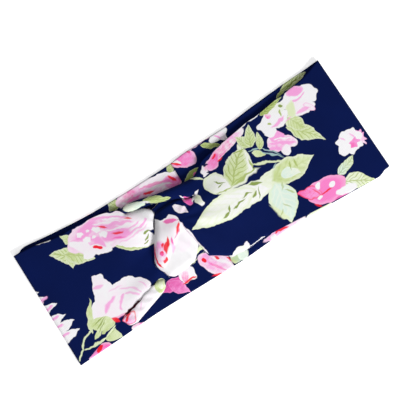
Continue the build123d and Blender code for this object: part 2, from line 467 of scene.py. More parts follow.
LEAF = motif_group("leaf", [("Under", COLOUR), ("Wash", NUMBER), ("Soft", NUMBER), ("Base", COLOUR),
                            ("Tip", COLOUR), ("Vein", COLOUR), ("Edge", COLOUR), ("Bend", NUMBER),
                            ("Veins", NUMBER), ("Rim", NUMBER)], build_leaf)
PETAL = motif_group("petal", [("Under", COLOUR), ("Wash", NUMBER), ("Soft", NUMBER), ("Base", COLOUR),
                              ("Tip", COLOUR), ("Edge", COLOUR), ("Rim", NUMBER), ("Lobes", NUMBER),
                              ("Turn", NUMBER), ("Ruffle", NUMBER)], build_petal)
STROKE = motif_group("stroke", [("Under", COLOUR), ("Soft", NUMBER), ("Base", COLOUR), ("Bend", NUMBER),
                                ("Strength", NUMBER), ("Even", NUMBER)], build_stroke)

NAVY = (0.0006, 0.0052, 0.052)
WHITE = (0.86, 0.85, 0.87)
BLUSH = (0.88, 0.79, 0.86)
PINK = (0.88, 0.36, 0.69)
BUD_PINK = (0.88, 0.22, 0.55)
ROSE = (0.87, 0.15, 0.46)
MAGENTA = (0.70, 0.09, 0.36)
RED = (0.84, 0.02, 0.035)
OLIVE = (0.38, 0.47, 0.14)
LEAF_GREEN = (0.54, 0.64, 0.28)
PALE_GREEN = (0.70, 0.78, 0.50)
CREAM = (0.80, 0.84, 0.72)
MINT = (0.66, 0.79, 0.70)
DEEP_OLIVE = (0.22, 0.30, 0.05)
STEM_BLUE = (0.34, 0.50, 0.50)
# painted shadow: a near-black wine colour for the crease above the pleat
PAINTED_FOLD_SHADOW = (0.06, 0.002, 0.012)
# painted shade: a greyer white for the lower part of the petal over the knot
PAINTED_SHADE_WHITE = (0.80, 0.79, 0.80)
REVERSE_WHITE = (0.80, 0.80, 0.83)
# painted shade and painted highlight for the thread's twist
THREAD_PAINTED_SHADE = (0.002, 0.006, 0.04)
THREAD_PAINTED_HIGHLIGHT = (0.01, 0.03, 0.16)


class Print:
    """A material that starts as navy cloth, with motifs painted over it in order."""

    def __init__(self, name):
        self.material = bpy.data.materials.new(name)
        self.material.use_nodes = True
        self.paint = paint = Tree(self.material.node_tree)
        self.shader = self.material.node_tree.nodes["Principled BSDF"]
        uv = paint.node("ShaderNodeUVMap", uv_map="cloth").outputs[0]
        self.flat = paint.scaled(uv, (UV_SCALE, UV_SCALE, 0))
        flat = paint.node("ShaderNodeSeparateXYZ", self.flat)
        self.flat_x, self.flat_y = flat.outputs[0], flat.outputs[1]
        sway_x, sway_y = self.noise(0.13, 2.0), self.noise(0.15, 2.0)
        self.x = paint.math("ADD", self.flat_x, paint.math("MULTIPLY_ADD", sway_x, 3.4, -1.7))
        self.y = paint.math("ADD", self.flat_y, paint.math("MULTIPLY_ADD", sway_y, 3.4, -1.7))
        self.wash = paint.math("MULTIPLY_ADD", self.noise(0.42, 3.0), 1.3, -0.65)
        self.colour = paint.mix(self.noise(0.03, 2.0), opaque(NAVY), toned(NAVY, 1.45))

    def noise(self, scale, detail):
        made = self.paint.node("ShaderNodeTexNoise", self.flat, None, scale, detail, noise_dimensions="2D")
        return made.outputs[0]

    def place(self, x, y, turn, length, width):
        """Numbers that take cloth millimetres to -1 to 1 along and across a motif."""
        along, across = math.cos(math.radians(turn)), math.sin(math.radians(turn))
        half_length, half_width = length / 2, width / 2
        return {"X": self.x, "Y": self.y,
                "Along X": along / half_length, "Along Y": across / half_length,
                "Along": -(x * along + y * across) / half_length,
                "Across X": -across / half_width, "Across Y": along / half_width,
                "Across": (x * across - y * along) / half_width}

    def add(self, group, place, **values):
        made = self.paint.tree.nodes.new("ShaderNodeGroup")
        made.node_tree = group
        values.update(place, Under=self.colour)
        if "Wash" in made.inputs:
            values["Wash"] = self.wash
        for name, value in values.items():
            self.paint.feed(made.inputs[name], opaque(value) if isinstance(value, tuple) else value)
        self.colour = made.outputs[0]

    def leaf(self, x, y, turn, length, width, base=LEAF_GREEN, tip=PALE_GREEN, vein=OLIVE, edge=CREAM,
             bend=0.0, veins=0.5, rim=0.5):
        place = self.place(x, y, turn, length, width)
        self.add(LEAF, place, Soft=min(0.5, 0.7 / width), Base=base, Tip=tip, Vein=vein, Edge=edge, Bend=bend,
                 Veins=veins, Rim=rim)

    def petal(self, x, y, turn, length, width, base=PINK, tip=WHITE, edge=WHITE, rim=0.4, lobes=3,
              ruffle=0.05):
        place = self.place(x, y, turn, length, width)
        self.add(PETAL, place, Soft=min(0.5, 0.7 / width), Base=base, Tip=tip, Edge=edge, Rim=rim,
                 Lobes=float(lobes), Turn=x + y, Ruffle=ruffle)

    def stroke(self, x, y, turn, length, width, colour=RED, bend=0.0, strength=0.95, soft=0.5, even=1.0):
        """A brush mark, pointed at its ends; a higher even gives a line of even width."""
        place = self.place(x, y, turn, length, width)
        self.add(STROKE, place, Soft=soft, Base=colour, Bend=bend, Strength=strength, Even=even)

    def petals(self, *rows):
        """Petals in the order they are painted, each with petal's own values in a row."""
        for row in rows:
            self.petal(*row)

    def strokes(self, *rows, **shared):
        """Brush marks, each a row of (x, y, turn, length, width, colour, bend, strength)."""
        for row in rows:
            self.stroke(*row, **shared)

    def scatter(self, where):
        """Loose sprays of blossom, one to a cell, wherever the cell's middle is in the chosen part."""
        paint, plain_cloth, main = self.paint, self.colour, (self.x, self.y)
        cells = paint.node("ShaderNodeTexVoronoi", self.flat, None, 1 / SPRAY_SPACING,
                           voronoi_dimensions="2D")
        cells.inputs["Randomness"].default_value = 0.5
        middle = paint.node("ShaderNodeSeparateXYZ", cells.outputs["Position"])
        chance = paint.node("ShaderNodeSeparateColor", cells.outputs["Color"]).outputs[0]
        turn = paint.math("MULTIPLY", chance, 6.28)
        across, along = paint.math("SINE", turn), paint.math("COSINE", turn)
        x = paint.math("SUBTRACT", self.x, middle.outputs[0])
        y = paint.math("SUBTRACT", self.y, middle.outputs[1])
        self.x = paint.math("MULTIPLY_ADD", x, along, paint.math("MULTIPLY", y, across))
        self.y = paint.math("SUBTRACT", paint.math("MULTIPLY", y, along), paint.math("MULTIPLY", x, across))
        self.leaf(9.5, 5.5, 34, 17, 7)
        self.leaf(-9, 6.5, 140, 16, 6.5)
        self.leaf(1.5, -10, -84, 13, 5.5)
        self.petal(0, 0, 0, 19, 17, PINK, WHITE, WHITE, lobes=5, ruffle=0.1)
        self.petal(1.5, 1, 70, 11, 9, BLUSH, PINK, WHITE)
        self.stroke(1, -2, 30, 6, 2.2, RED)
        self.x, self.y = main
        chosen = where(paint, middle.outputs[0], middle.outputs[1])
        self.colour = paint.mix(chosen, plain_cloth, self.colour)

    def finish(self):
        """Knit loops as fine bump and shade, and a dry cotton surface."""
        paint = self.paint
        wale = paint.math("SINE", paint.math("MULTIPLY", self.flat_x, 2 * math.pi / KNIT_WALE))
        lean = paint.math("MULTIPLY", paint.math("ABSOLUTE", wale), 1.3)
        course = paint.math("SINE", paint.math("MULTIPLY_ADD", self.flat_y, 2 * math.pi / KNIT_COURSE, lean))
        loops = paint.math("MULTIPLY", paint.math("ADD", wale, course), 0.5)
        height = paint.math("ADD", loops, self.noise(2.2, 3.0))
        shade = paint.step(loops, -1.0, 1.0, 0.84, 1.02)
        shaded = paint.node("ShaderNodeVectorMath", self.colour, None, None, shade, operation="SCALE")
        bump = paint.node("ShaderNodeBump")
        bump.inputs["Strength"].default_value = 0.35
        bump.inputs["Distance"].default_value = 0.00015
        paint.feed(bump.inputs["Height"], height)
        paint.feed(self.shader.inputs["Normal"], bump.outputs[0])
        paint.feed(self.shader.inputs["Base Color"], shaded.outputs[0])
        cotton(self.shader)
        return self.material


def cotton(shader):
    shader.inputs["Roughness"].default_value = 0.82
    shader.inputs["Specular IOR Level"].default_value = 0.07
    shader.inputs["Sheen Weight"].default_value = 0.02
    shader.inputs["Sheen Roughness"].default_value = 0.4


def past_fold(paint, x, y):
    """Where sprays fill the outer cloth: past the folded end, but not on the bunched strip."""
    beyond = paint.math("GREATER_THAN", paint.math("ABSOLUTE", x), OUTER_PRINT_END)
    return paint.math("MULTIPLY", beyond, paint.math("LESS_THAN", y, PLAIN_GROUND / 2))


def paint_left_front():
    """Two big roses with their leaves, and half a flower that goes round the fold."""
    cloth = Print("left_front_print")
    for tip, y in ((-118.2, 13.0), (-115.6, 7.0), (-112.1, 0.2), (-110.1, -9.0), (-108.0, -15.0),
                   (-108.2, -22.0)):
        cloth.leaf(tip - 12, y, 0, 26, 8.6, WHITE, WHITE, WHITE, WHITE, veins=0)
    for y in (6.4, -0.4, -8.0, -13.9, -20.8):
        cloth.stroke(-119.6, y, 3, 11, 3.2, PINK, soft=0.8, even=1.8)
    cloth.stroke(-99.8, 38.8, -12, 14, 1.0, WHITE, even=4)
    # Leaves of the pink rose
    cloth.leaf(-84.2, 32, 122, 11, 5.6)
    cloth.leaf(-89.5, 22.6, 146, 25, 11, bend=-0.1, veins=0.8)
    cloth.leaf(-87.8, 19.8, -112, 15, 8, veins=0.4)
    cloth.leaf(-82.5, 18.5, -38, 21, 11, veins=0.6)
    cloth.leaf(-47.5, 5.6, -29, 27, 11, LEAF_GREEN, OLIVE, bend=0.2, veins=0.3)
    # The pink rose
    cloth.petals(
        (-46, 9.0, -29, 31, 12, BLUSH, WHITE, WHITE, 0.4, 2),
        (-41.5, 17.4, -10, 35, 18, BLUSH, WHITE, WHITE, 0.6),
        (-62, 23.6, -9, 50, 23.6, PINK, BLUSH, BLUSH, 0.7, 7, 0.035),
        (-71, 30.4, 14, 22, 9, PINK, PINK, BLUSH, 0.5), (-78.6, 23.6, -50, 15, 8, WHITE, BLUSH),
        (-74, 16.8, 4, 17, 7, WHITE, BLUSH), (-69, 15.4, -30, 16, 7, BLUSH),
        (-62, 16.6, -4, 22, 6, WHITE, BLUSH, BLUSH), (-52, 30.0, -28, 20, 5.4, BLUSH),
        (-55, 17.6, -18, 24, 9, PINK, PINK, BLUSH, 0.8))
    cloth.strokes(
        (-58, 24.5, -33, 25, 4.4, PINK, 0.5, 0.8), (-49, 22.8, -25, 24, 3.4, PINK, 0.3, 0.85),
        (-47, 19.2, -14, 30, 3.0, WHITE, 0.4, 0.85))
    cloth.stroke(-54.2, 29.2, -27, 26, 2.0, PINK, bend=1.3, strength=0.9, soft=0.8, even=2)
    cloth.stroke(-56, 27.4, -25, 20, 1.2, WHITE, bend=1.2, strength=0.8, even=2)
    cloth.strokes(
        (-42.1, 18.0, 6, 29, 1.8, PINK, -5.0, 0.85), (-46.4, 18.6, -4, 22, 1.5, PINK, -3.4, 0.8),
        (-45, 12.4, 2, 24, 1.5, PINK, -1.6, 0.6), soft=0.8, even=2)
    cloth.strokes(
        (-33, 17.5, 34, 17, 2.6, PINK, -0.6, 0.6), (-68, 19.8, -62, 13, 5.4, PINK, 0.4),
        (-79, 27.4, -28, 11, 2.6, PINK, 0.6, 0.8))
    for x, y, length, width in ((-64.1, 27.4, 6.6, 4.2), (-62.2, 22.2, 6.4, 4.2), (-73.2, 25.0, 6.4, 3.6),
                                (-75.4, 30.2, 5.4, 4.0), (-68.2, 23.6, 3.4, 2.6), (-69.8, 29.4, 3.4, 2.4)):
        cloth.petal(x, y, -24, length, width, WHITE, WHITE, BLUSH, lobes=5, ruffle=0.1)
    cloth.petal(-29.5, 17.5, -60, 13, 6, WHITE, WHITE, WHITE)
    cloth.stroke(-59.4, 26.6, -36, 8.6, 2.4, RED, soft=0.8)
    cloth.petal(-69.6, 17.0, -40, 6.6, 3.0, RED, RED, ROSE, rim=0.5)
    cloth.strokes(
        (-53.6, 18.4, -20, 10, 2.4, RED, -0.4), (-54.4, 15.2, -20, 10, 2.2, ROSE),
        (-42.6, 22.8, -30, 8, 1.8, RED, 0.0, 0.85), soft=0.8)
    cloth.strokes(
        (-37.2, 8.4, -6, 6, 2.4, DEEP_OLIVE), (-38.2, 5.6, 24, 6, 1.6, DEEP_OLIVE),
        (-40.2, 3.4, 14, 6, 1.3, DEEP_OLIVE))
    # Stem, calyx and leaf of the white rose
    cloth.strokes(
        (-116, -37.7, 36, 10, 1.5, PALE_GREEN), (-107.4, -31.0, 40, 13.4, 1.7, PALE_GREEN, 2.4),
        (-99.6, -33.5, 7, 26, 1.9, PALE_GREEN, -3.1), even=4)
    cloth.leaf(-97.4, -18.6, 62, 24, 4.6, PALE_GREEN, LEAF_GREEN, veins=0.2)
    # The white rose
    cloth.petals(
        (-80.8, -0.4, -32, 9.6, 6.6, BLUSH, WHITE, WHITE, 0.4, 4, 0.12),
        (-81.8, -8.4, 84, 16, 14, WHITE, BLUSH), (-85.5, -18, 52, 29, 18, BLUSH, WHITE, WHITE, 0.7),
        (-67, -17.2, -20, 29, 16, BLUSH, WHITE, WHITE, 0.7, 5), (-60, -17.4, -38, 16, 9.5, WHITE, BLUSH),
        (-76, -24.0, -8, 32, 14, BLUSH))
    cloth.stroke(-83.2, -5.2, -12, 9, 4.0, PINK, strength=0.7)
    cloth.stroke(-82.6, -19.6, 28, 16, 4.0, PINK, bend=0.6, strength=0.9, soft=0.8, even=1.6)
    cloth.strokes(
        (-74.8, -22.4, 55, 13, 2.6, PINK, 0.9, 0.85), (-66.8, -20.6, -43, 21, 1.9, PINK, 3.8, 0.6),
        (-66.4, -22.4, -38, 15, 2.0, PINK, 1.6, 0.7), soft=0.8, even=2)
    cloth.strokes(
        (-74.4, -12.6, -6, 13, 1.6, PINK, 0.8, 0.45), (-57.4, -19.4, -58, 9, 1.6, PINK, 0.7, 0.6),
        (-81.4, -28.4, -18, 13, 2.6, ROSE, -0.4, 0.6), soft=0.8)
    cloth.petal(-94.0, -27.0, -22, 16, 8.6, LEAF_GREEN, PALE_GREEN, PALE_GREEN, lobes=1, ruffle=0.02)
    cloth.leaf(-98.4, -30.6, 36, 12, 4.0, LEAF_GREEN, PALE_GREEN, OLIVE, veins=0.2)
    cloth.leaf(-90.6, -31.0, 12, 14, 3.4, LEAF_GREEN, PALE_GREEN, OLIVE, veins=0.2)
    for lean, x, y in ((8, -94.6, -25.0), (20, -94.4, -26.8), (30, -94.6, -28.6)):
        cloth.stroke(x, y, lean, 11, 0.9, DEEP_OLIVE, bend=0.8, strength=0.75)
    cloth.stroke(-84.8, -29.6, -50, 8, 4.6, RED)
    # Its lower petal, on the pleat
    cloth.petals(
        (-63, -31, 13, 39, 14, BLUSH, WHITE, WHITE, 0.3), (-76, -33.4, 20, 11, 8.5, PINK, BLUSH, RED, 0.8))
    cloth.strokes(
        (-77.4, -33.2, 34, 6.4, 2.2, RED, 0.5), (-75.8, -30.8, 10, 6, 1.8),
        (-66, -30.2, 60, 7, 1.6, PINK, 0.0, 0.5))
    # A dark line painted along the crease where the pleat meets the panel: painted shadow
    cloth.stroke(-71, -28.6, 15, 22, 1.5, PAINTED_FOLD_SHADOW, bend=0.2, strength=1.0, soft=0.3)
    cloth.petals(
        (-48.2, -26.2, 60, 10.5, 7.6, LEAF_GREEN, PALE_GREEN, PALE_GREEN, 0.3),
        (-47.4, -26.0, 60, 5.5, 4, CREAM, PALE_GREEN, PALE_GREEN))
    cloth.scatter(past_fold)
    return cloth.finish()


def paint_right_front():
    """Long pale leaves and blossoms on the panel, and the petal that lies over the knot."""
    cloth = Print("right_front_print")
    # The roll at the top of the knot
    cloth.petal(-35.5, 27.2, -14, 16, 6.6, CREAM, MINT, PALE_GREEN)
    cloth.leaf(-20.5, 23.2, -29, 20, 6.4, LEAF_GREEN, LEAF_GREEN, DEEP_OLIVE, PALE_GREEN, veins=0.5)
    cloth.strokes(
        (-28, 25.6, -40, 9, 2.0, WHITE), (8, 20.9, -38, 15, 2.2, PALE_GREEN, 0.5))
    # The small blossom beside the pleat
    cloth.leaf(-10.2, 9.8, -50, 12, 4.8, WHITE, BLUSH, PINK, WHITE, veins=0.3)
    cloth.petal(-3.4, 11.2, -64, 8, 5.4, MAGENTA, ROSE, PINK)
    cloth.stroke(-5.6, 14.6, -62, 6, 1.6, WHITE)
    cloth.leaf(2.6, 11.8, 32, 9.5, 2.6, WHITE, WHITE, PINK, WHITE, veins=0.2)
    cloth.petal(2.9, 7.4, -72, 8.4, 5.2, PALE_GREEN, WHITE, WHITE)
    # Pink bud along the top edge
    cloth.petals(
        (16.4, 22.6, 50, 8.4, 5.2, WHITE, BLUSH, WHITE, 0.4, 5, 0.16),
        (34, 27.8, 15, 39, 6.6, ROSE, BLUSH, WHITE, 0.5), (24.4, 24.2, 34, 13.5, 7.2, PINK, ROSE, BLUSH),
        (46, 32.4, 10, 15, 3.6, PINK, BLUSH))
    cloth.strokes(
        (26.6, 27.0, 24, 5, 2.0), (28.6, 22.8, 10, 5.4, 1.6), (19.4, 25.2, -24, 4, 1.9, NAVY),
        (18.4, 20.2, -34, 5, 2.1, NAVY))
    # Stems
    cloth.strokes(
        (58.8, 8.6, -48, 22, 1.5, STEM_BLUE, 0.6), (59.8, 9.8, -55, 20, 1.2, STEM_BLUE, 1.4),
        (51, 16.4, -14, 10, 1.5, STEM_BLUE, 0.6), (56.4, -0.6, 34, 10, 1.3, STEM_BLUE, 0.9))
    cloth.leaf(52.4, 13.2, -32, 10, 4.2, PALE_GREEN, LEAF_GREEN, veins=0.2)
    cloth.leaf(57.2, 20.2, 62, 12.5, 5.0, LEAF_GREEN, PALE_GREEN, DEEP_OLIVE)
    cloth.leaf(47.6, 25.4, 116, 13.5, 7.4, LEAF_GREEN, PALE_GREEN, DEEP_OLIVE)
    cloth.leaf(53.4, 26.0, 58, 15.5, 8.4, LEAF_GREEN, PALE_GREEN, DEEP_OLIVE)
    # The three long leaves
    cloth.petal(31, -6.4, -1, 45, 14.6, CREAM, WHITE, PALE_GREEN, rim=0.5)
    cloth.leaf(13.5, -5.8, 181, 50, 17.5, WHITE, CREAM, PALE_GREEN, PALE_GREEN, bend=-0.05, veins=0.3,
               rim=0.7)
    cloth.petal(52.5, -5.2, -4, 20, 11, CREAM, PALE_GREEN, CREAM)
    cloth.stroke(34, 3.6, 7, 32, 5.4, CREAM, bend=0.2)
    cloth.petal(19.6, 10.0, -36, 21, 13.6, CREAM, WHITE, PALE_GREEN, rim=0.5)
    cloth.leaf(42.2, 14.8, 82, 22, 9.4, WHITE, CREAM, PALE_GREEN, PALE_GREEN, veins=0.5)
    cloth.leaf(35.4, 13.6, 44, 29, 15.5, LEAF_GREEN, PALE_GREEN, OLIVE, CREAM, veins=0.85)
    cloth.strokes(
        (20.8, 10.8, -38, 9, 1.3, DEEP_OLIVE, 0.4), (20.4, 8.8, 8, 5, 1.1, DEEP_OLIVE),
        (20, 4.6, -12, 14, 1.1, OLIVE, -0.8), (36, 4.4, 8, 25, 2.0, OLIVE, 0.8),
        (54, 4.4, -24, 27, 2.3, PALE_GREEN, 1.1), (44.6, 9.6, 74, 9, 1.8, OLIVE),
        (42, 21.2, -4, 10, 1.5, OLIVE, 0.9), (40.4, -2.4, -24, 12, 3.8, DEEP_OLIVE, 0.1),
        (12.6, -9.6, 22, 9, 1.9, DEEP_OLIVE, -0.8), (17.2, -7.2, 62, 5.4, 1.5, DEEP_OLIVE),
        (24.4, -8.0, 9, 12, 1.9, DEEP_OLIVE, 0.3), (31.6, -5.9, 4, 9, 1.5, DEEP_OLIVE, 0.6),
        (36, -7.8, 34, 6.4, 2.2, DEEP_OLIVE), (39.2, -8.6, 60, 8.4, 1.3, DEEP_OLIVE))
    cloth.leaf(66.5, -6.6, 0, 34, 16.5, LEAF_GREEN, PALE_GREEN, OLIVE, CREAM, veins=0.25)
    cloth.petal(63.4, -8.2, -18, 14, 6.4, MINT, CREAM, CREAM)
    cloth.strokes(
        (66.2, -4.6, 76, 8, 1.4, OLIVE, 0.9), (70.2, -4.4, 82, 9, 1.3, OLIVE, 1.0))
    # Pointed leaf below them
    cloth.leaf(49.6, -22.6, -98, 29, 18.5, MINT, MINT, CREAM, PALE_GREEN, bend=0.1, veins=0.6, rim=0.6)
    cloth.strokes(
        (44.4, -26.8, -66, 18, 4.4, PALE_GREEN, -0.4, 0.9), (56.6, -18.4, -52, 8, 1.5, OLIVE, 0.5, 0.7),
        (50.6, -25.4, -62, 8, 1.3, OLIVE, 0.0, 0.6), (45.2, -27.6, 42, 6, 1.3, OLIVE, 0.0, 0.7),
        (54.4, -12.8, 56, 7, 1.5, OLIVE, 0.0, 0.6))
    # Blossoms by the folded end
    cloth.leaf(86.2, 8.6, -49, 28, 9.6, LEAF_GREEN, PALE_GREEN, OLIVE, veins=0.75)
    cloth.leaf(83.8, 17.6, -62, 17, 10, PALE_GREEN, LEAF_GREEN, OLIVE, veins=0.5)
    cloth.petals(
        (73.4, 9.6, -44, 15, 7.6), (68.8, 6.6, -82, 9.4, 6.2, BLUSH),
        (66.2, 13.6, 66, 13.5, 11.6, PINK, WHITE, WHITE, 0.4, 4, 0.08),
        (68.4, 17.0, -30, 11, 6.6, PINK, PINK, PINK, 0))
    cloth.strokes(
        (69.8, 10.8, -31, 19, 2.6, PINK), (71.6, 13.0, -31, 14, 1.1, WHITE),
        (63.8, 9.6, -28, 8.4, 2.8, PINK), even=2)
    cloth.petals(
        (94.6, 30.4, -4, 26.5, 14.2, WHITE, WHITE, WHITE, 0.4, 6), (92.8, 24.2, -18, 19, 10, BLUSH),
        (97.4, 21.4, -58, 9, 5, BLUSH, BLUSH, PINK, 0.8), (103.4, 29.6, 84, 12.4, 8, WHITE),
        (94.6, 35.2, -6, 13, 6.6, PINK, PINK, BLUSH, 0.4, 2))
    cloth.stroke(93.6, 31.4, 2, 14, 1.6, PINK, bend=-2.0, strength=0.85, even=2)
    cloth.stroke(92.8, 22.0, -12, 12, 2.6, PINK, strength=0.8)
    cloth.petals(
        (85.6, 26.4, 60, 12, 7.4, PALE_GREEN, PALE_GREEN),
        (71.6, 26.6, 4, 22, 13.4, WHITE, WHITE, WHITE, 0.4, 5, 0.07), (66.2, 20.8, -16, 9, 6, WHITE),
        (78.6, 31.2, 12, 12, 6.6, WHITE, CREAM), (71.0, 31.4, 30, 4.6, 3.8, ROSE, BLUSH, PINK))
    cloth.strokes(
        (73.6, 24.4, 16, 13, 3.2, PINK, -0.9, 0.9), (80.8, 22.4, 6, 7, 1.6, PINK, 0.0, 0.7),
        (68.8, 25.8, -34, 4, 1.8, OLIVE), (78.6, 28.2, 72, 6, 1.8, OLIVE, 0.5),
        (81.4, 32.4, -14, 4, 2.6, DEEP_OLIVE))
    cloth.petals(
        (113.8, -13.4, 60, 10.6, 7.6, BLUSH, PINK, PINK, 0.4, 9, 0.16),
        (107.2, -11.8, 20, 18, 15.6, WHITE, WHITE, WHITE, 0.4, 7, 0.12), (110.6, -7.6, 90, 7, 6, BLUSH),
        (101.6, -14.6, 24, 8, 9, WHITE), (109.4, -14.2, 20, 7.6, 5.6, ROSE, PINK, PINK, 0.4, 5, 0.2))
    cloth.strokes(
        (110.6, -9.6, -80, 6, 1.4, PINK, 0.0, 0.8), (104.4, -7.6, -70, 5, 1.4, PINK, 0.0, 0.7))
    cloth.leaf(97, -23.8, 22, 15.5, 7, MINT, PALE_GREEN, DEEP_OLIVE, PALE_GREEN, veins=0.5)
    cloth.leaf(75.4, 35.2, 8, 20, 4.8, OLIVE, LEAF_GREEN, DEEP_OLIVE, PALE_GREEN, veins=0.9)
    # Where the pale reverse looks out along the edges
    cloth.strokes(
        (56.5, 34.2, 5, 21, 0.9, WHITE), (20, -35.4, 1, 13, 0.9, WHITE), even=4)
    # A white bud that looks out at the lower edge
    cloth.petals(
        (8.4, -34.6, 2, 15, 5.0, WHITE, CREAM), (14.2, -33.6, 60, 5.4, 3.6, WHITE, BLUSH))
    # The spotted bud and its leaf
    cloth.leaf(98.4, -36.6, -32, 22, 11, CREAM, PALE_GREEN, OLIVE, PALE_GREEN, veins=0.75)
    cloth.petal(78, -30.6, -6, 28, 17.4, BUD_PINK, BUD_PINK, BLUSH, lobes=3, rim=0.25)
    cloth.leaf(67.2, -26.2, 152, 17, 8.6, PINK, ROSE, RED, RED, veins=0.2, rim=0.8)
    cloth.petals(
        (89.2, -37.4, -4, 14, 6.4, WHITE), (82.6, -29.2, 0, 5.8, 4.8, WHITE, WHITE, BLUSH),
        (74.6, -25.2, 44, 6, 3.8, WHITE, WHITE, BLUSH), (71.8, -32.4, 0, 4, 3, WHITE, WHITE, BLUSH))
    cloth.strokes(
        (77, -31.6, 4, 11, 1.7, RED, 0.8), (71.6, -28.6, -62, 7, 1.7, RED, 0.0, 0.6),
        (68.2, -36.4, -50, 6, 2.0, RED, 0.0, 0.8), (84, -39.6, -4, 12, 2.0, ROSE, 0.0, 0.8))
    # The white petal over the knot; its lower part, below the crease, is painted greyer as painted shade
    cloth.petals(
        (-30.4, 7.4, 100, 15, 9.4, WHITE), (-28.6, -9.4, 80, 39, 32, BLUSH, WHITE, WHITE, 0.3, 4, 0.03),
        (-24.2, 1.6, 30, 22, 13, WHITE, BLUSH), (-26, -15.6, 20, 30, 20, PAINTED_SHADE_WHITE),
        (-36, -7.4, 66, 17, 9, BLUSH, PINK, WHITE, 0.7))
    cloth.stroke(-38.2, -8, 81, 20, 2.6, ROSE, bend=2.4, even=1.6, soft=0.8)
    cloth.stroke(-38.6, -10, 84, 16, 1.6, RED, bend=3.2, even=1.6)
    cloth.petal(-18.8, -9.6, 50, 17, 11, BLUSH, WHITE, WHITE, rim=0.9)
    cloth.strokes(
        (-31.0, -7.2, 58, 9.4, 4.6, RED, 0.2), (-29.0, -4.2, 64, 9.0, 2.6, RED, -0.4),
        (-32.8, -4.6, 40, 4.4, 2.0))
    # A magenta line painted along the crease of the white petal: painted shadow in the crease
    cloth.stroke(-19.6, -2.8, 34, 12, 1.3, MAGENTA, bend=0.5, strength=0.75, soft=0.9)
    cloth.petal(-36.2, -8.6, 40, 4.2, 3.0, ROSE, RED, PINK)
    cloth.strokes(
        (-36.0, -13.4, 28, 5.4, 2.6), (-34.8, -3.4, 80, 7, 2.0, PINK),
        (-27.6, -9.4, 76, 10, 2.6, PINK, 0.0, 0.6), (-25.6, -5.4, 62, 6.4, 2.0, ROSE),
        (-20.6, 6.0, -30, 11, 3.2, ROSE, 0.3), (-18.0, 0.2, 50, 8, 2.4))
    cloth.stroke(-13.2, -11.2, -81, 29, 1.5, BLUSH, bend=0.5, even=4)
    cloth.strokes(
        (-13.6, -20.6, 66, 9, 5.6, PALE_GREEN), (-20.4, -25.4, 20, 8, 1.8, PALE_GREEN))
    cloth.scatter(past_fold)
    return cloth.finish()


def hidden_middle(paint, x, y):
    """Where sprays fill the inner cloth: under the front, and past the folded end."""
    middle = paint.math("LESS_THAN", paint.math("ABSOLUTE", y), COVERED_HALF)
    past = paint.math("GREATER_THAN", paint.math("ABSOLUTE", x), INNER_PRINT_END)
    return paint.math("MAXIMUM", middle, past)


def paint_left_back():
    cloth = Print("left_back_print")
    # The rose that the centre-back seam cuts off
    cloth.leaf(-46.8, 35.6, 118, 10, 8.4, OLIVE, PALE_GREEN, DEEP_OLIVE, veins=0.7)
    cloth.leaf(-1.6, 36.4, 70, 8, 5, OLIVE, PALE_GREEN, DEEP_OLIVE)
    cloth.petals(
        (-20, 30.6, -7, 55, 15.4, PINK, BLUSH, WHITE, 0.5), (-36.4, 34.4, 10, 14, 8, BLUSH, ROSE, BLUSH),
        (-14, 34.6, -8, 24, 6, BLUSH), (-5.4, 27.6, -30, 14, 9, PINK, ROSE, BLUSH))
    cloth.strokes(
        (-16, 32.0, -16, 26, 2.6, ROSE, 0.4, 0.7), (-14, 29.6, -18, 22, 2.0, WHITE, 0.3, 0.8),
        (-33, 31.4, -4, 14, 2.6, ROSE, 0.0, 0.8), (-22, 29.8, -10, 9.4, 2.6), (-4.4, 30.0, -58, 7.4, 3.0))
    # Along the lower edge
    cloth.petals(
        (-104.6, -42.0, 4, 17.6, 10, PINK, ROSE, BLUSH, 0.5), (-103.6, -40.2, 34, 6.4, 3.6, RED, RED, ROSE),
        (-98.0, -41.4, 0, 3, 2, ROSE, ROSE, ROSE))
    cloth.leaf(-92.0, -36.6, -42, 15, 9.0, LEAF_GREEN, PALE_GREEN, PALE_GREEN, PALE_GREEN, veins=0.3)
    cloth.petal(-74.4, -41.2, -8, 10, 4.4, BLUSH, ROSE, WHITE)
    cloth.leaf(-41.8, -30.2, 190, 17, 7.6, MAGENTA, MAGENTA, ROSE, PINK, veins=0.3)
    cloth.leaf(-38.0, -33.8, -58, 16, 8.6, MAGENTA, PINK, ROSE, PINK, veins=0.3)
    cloth.petals(
        (-29.4, -29.4, 10, 12, 10.6, WHITE, WHITE, WHITE, 0.4, 5, 0.1),
        (-31.4, -29.6, 70, 8, 5, ROSE, BLUSH))
    cloth.stroke(-30.4, -33.8, 4, 12, 2.2, RED, bend=0.5)
    cloth.petal(-7.6, -34, -48, 30, 16, PINK, BLUSH, WHITE, rim=0.5)
    cloth.strokes(
        (-5.4, -33.6, -52, 20, 3.0, WHITE, 0.0, 0.8), (-9.4, -35.6, -56, 16, 2.4, ROSE, 0.0, 0.7))
    cloth.petal(-15, -27.6, -60, 4.4, 3.6, RED, RED, ROSE)
    cloth.strokes(
        (-7, -30.4, -52, 5.4, 2.2), (-12.6, -40, -14, 8, 2.8), (0.2, -36, -62, 7, 3.2))
    # In the part the front covers
    cloth.petal(-62, 22, 24, 22, 15, PINK, WHITE)
    cloth.leaf(-76, 17, 196, 17, 7)
    cloth.leaf(-66, -19, -20, 20, 8)
    cloth.scatter(hidden_middle)
    return cloth.finish()


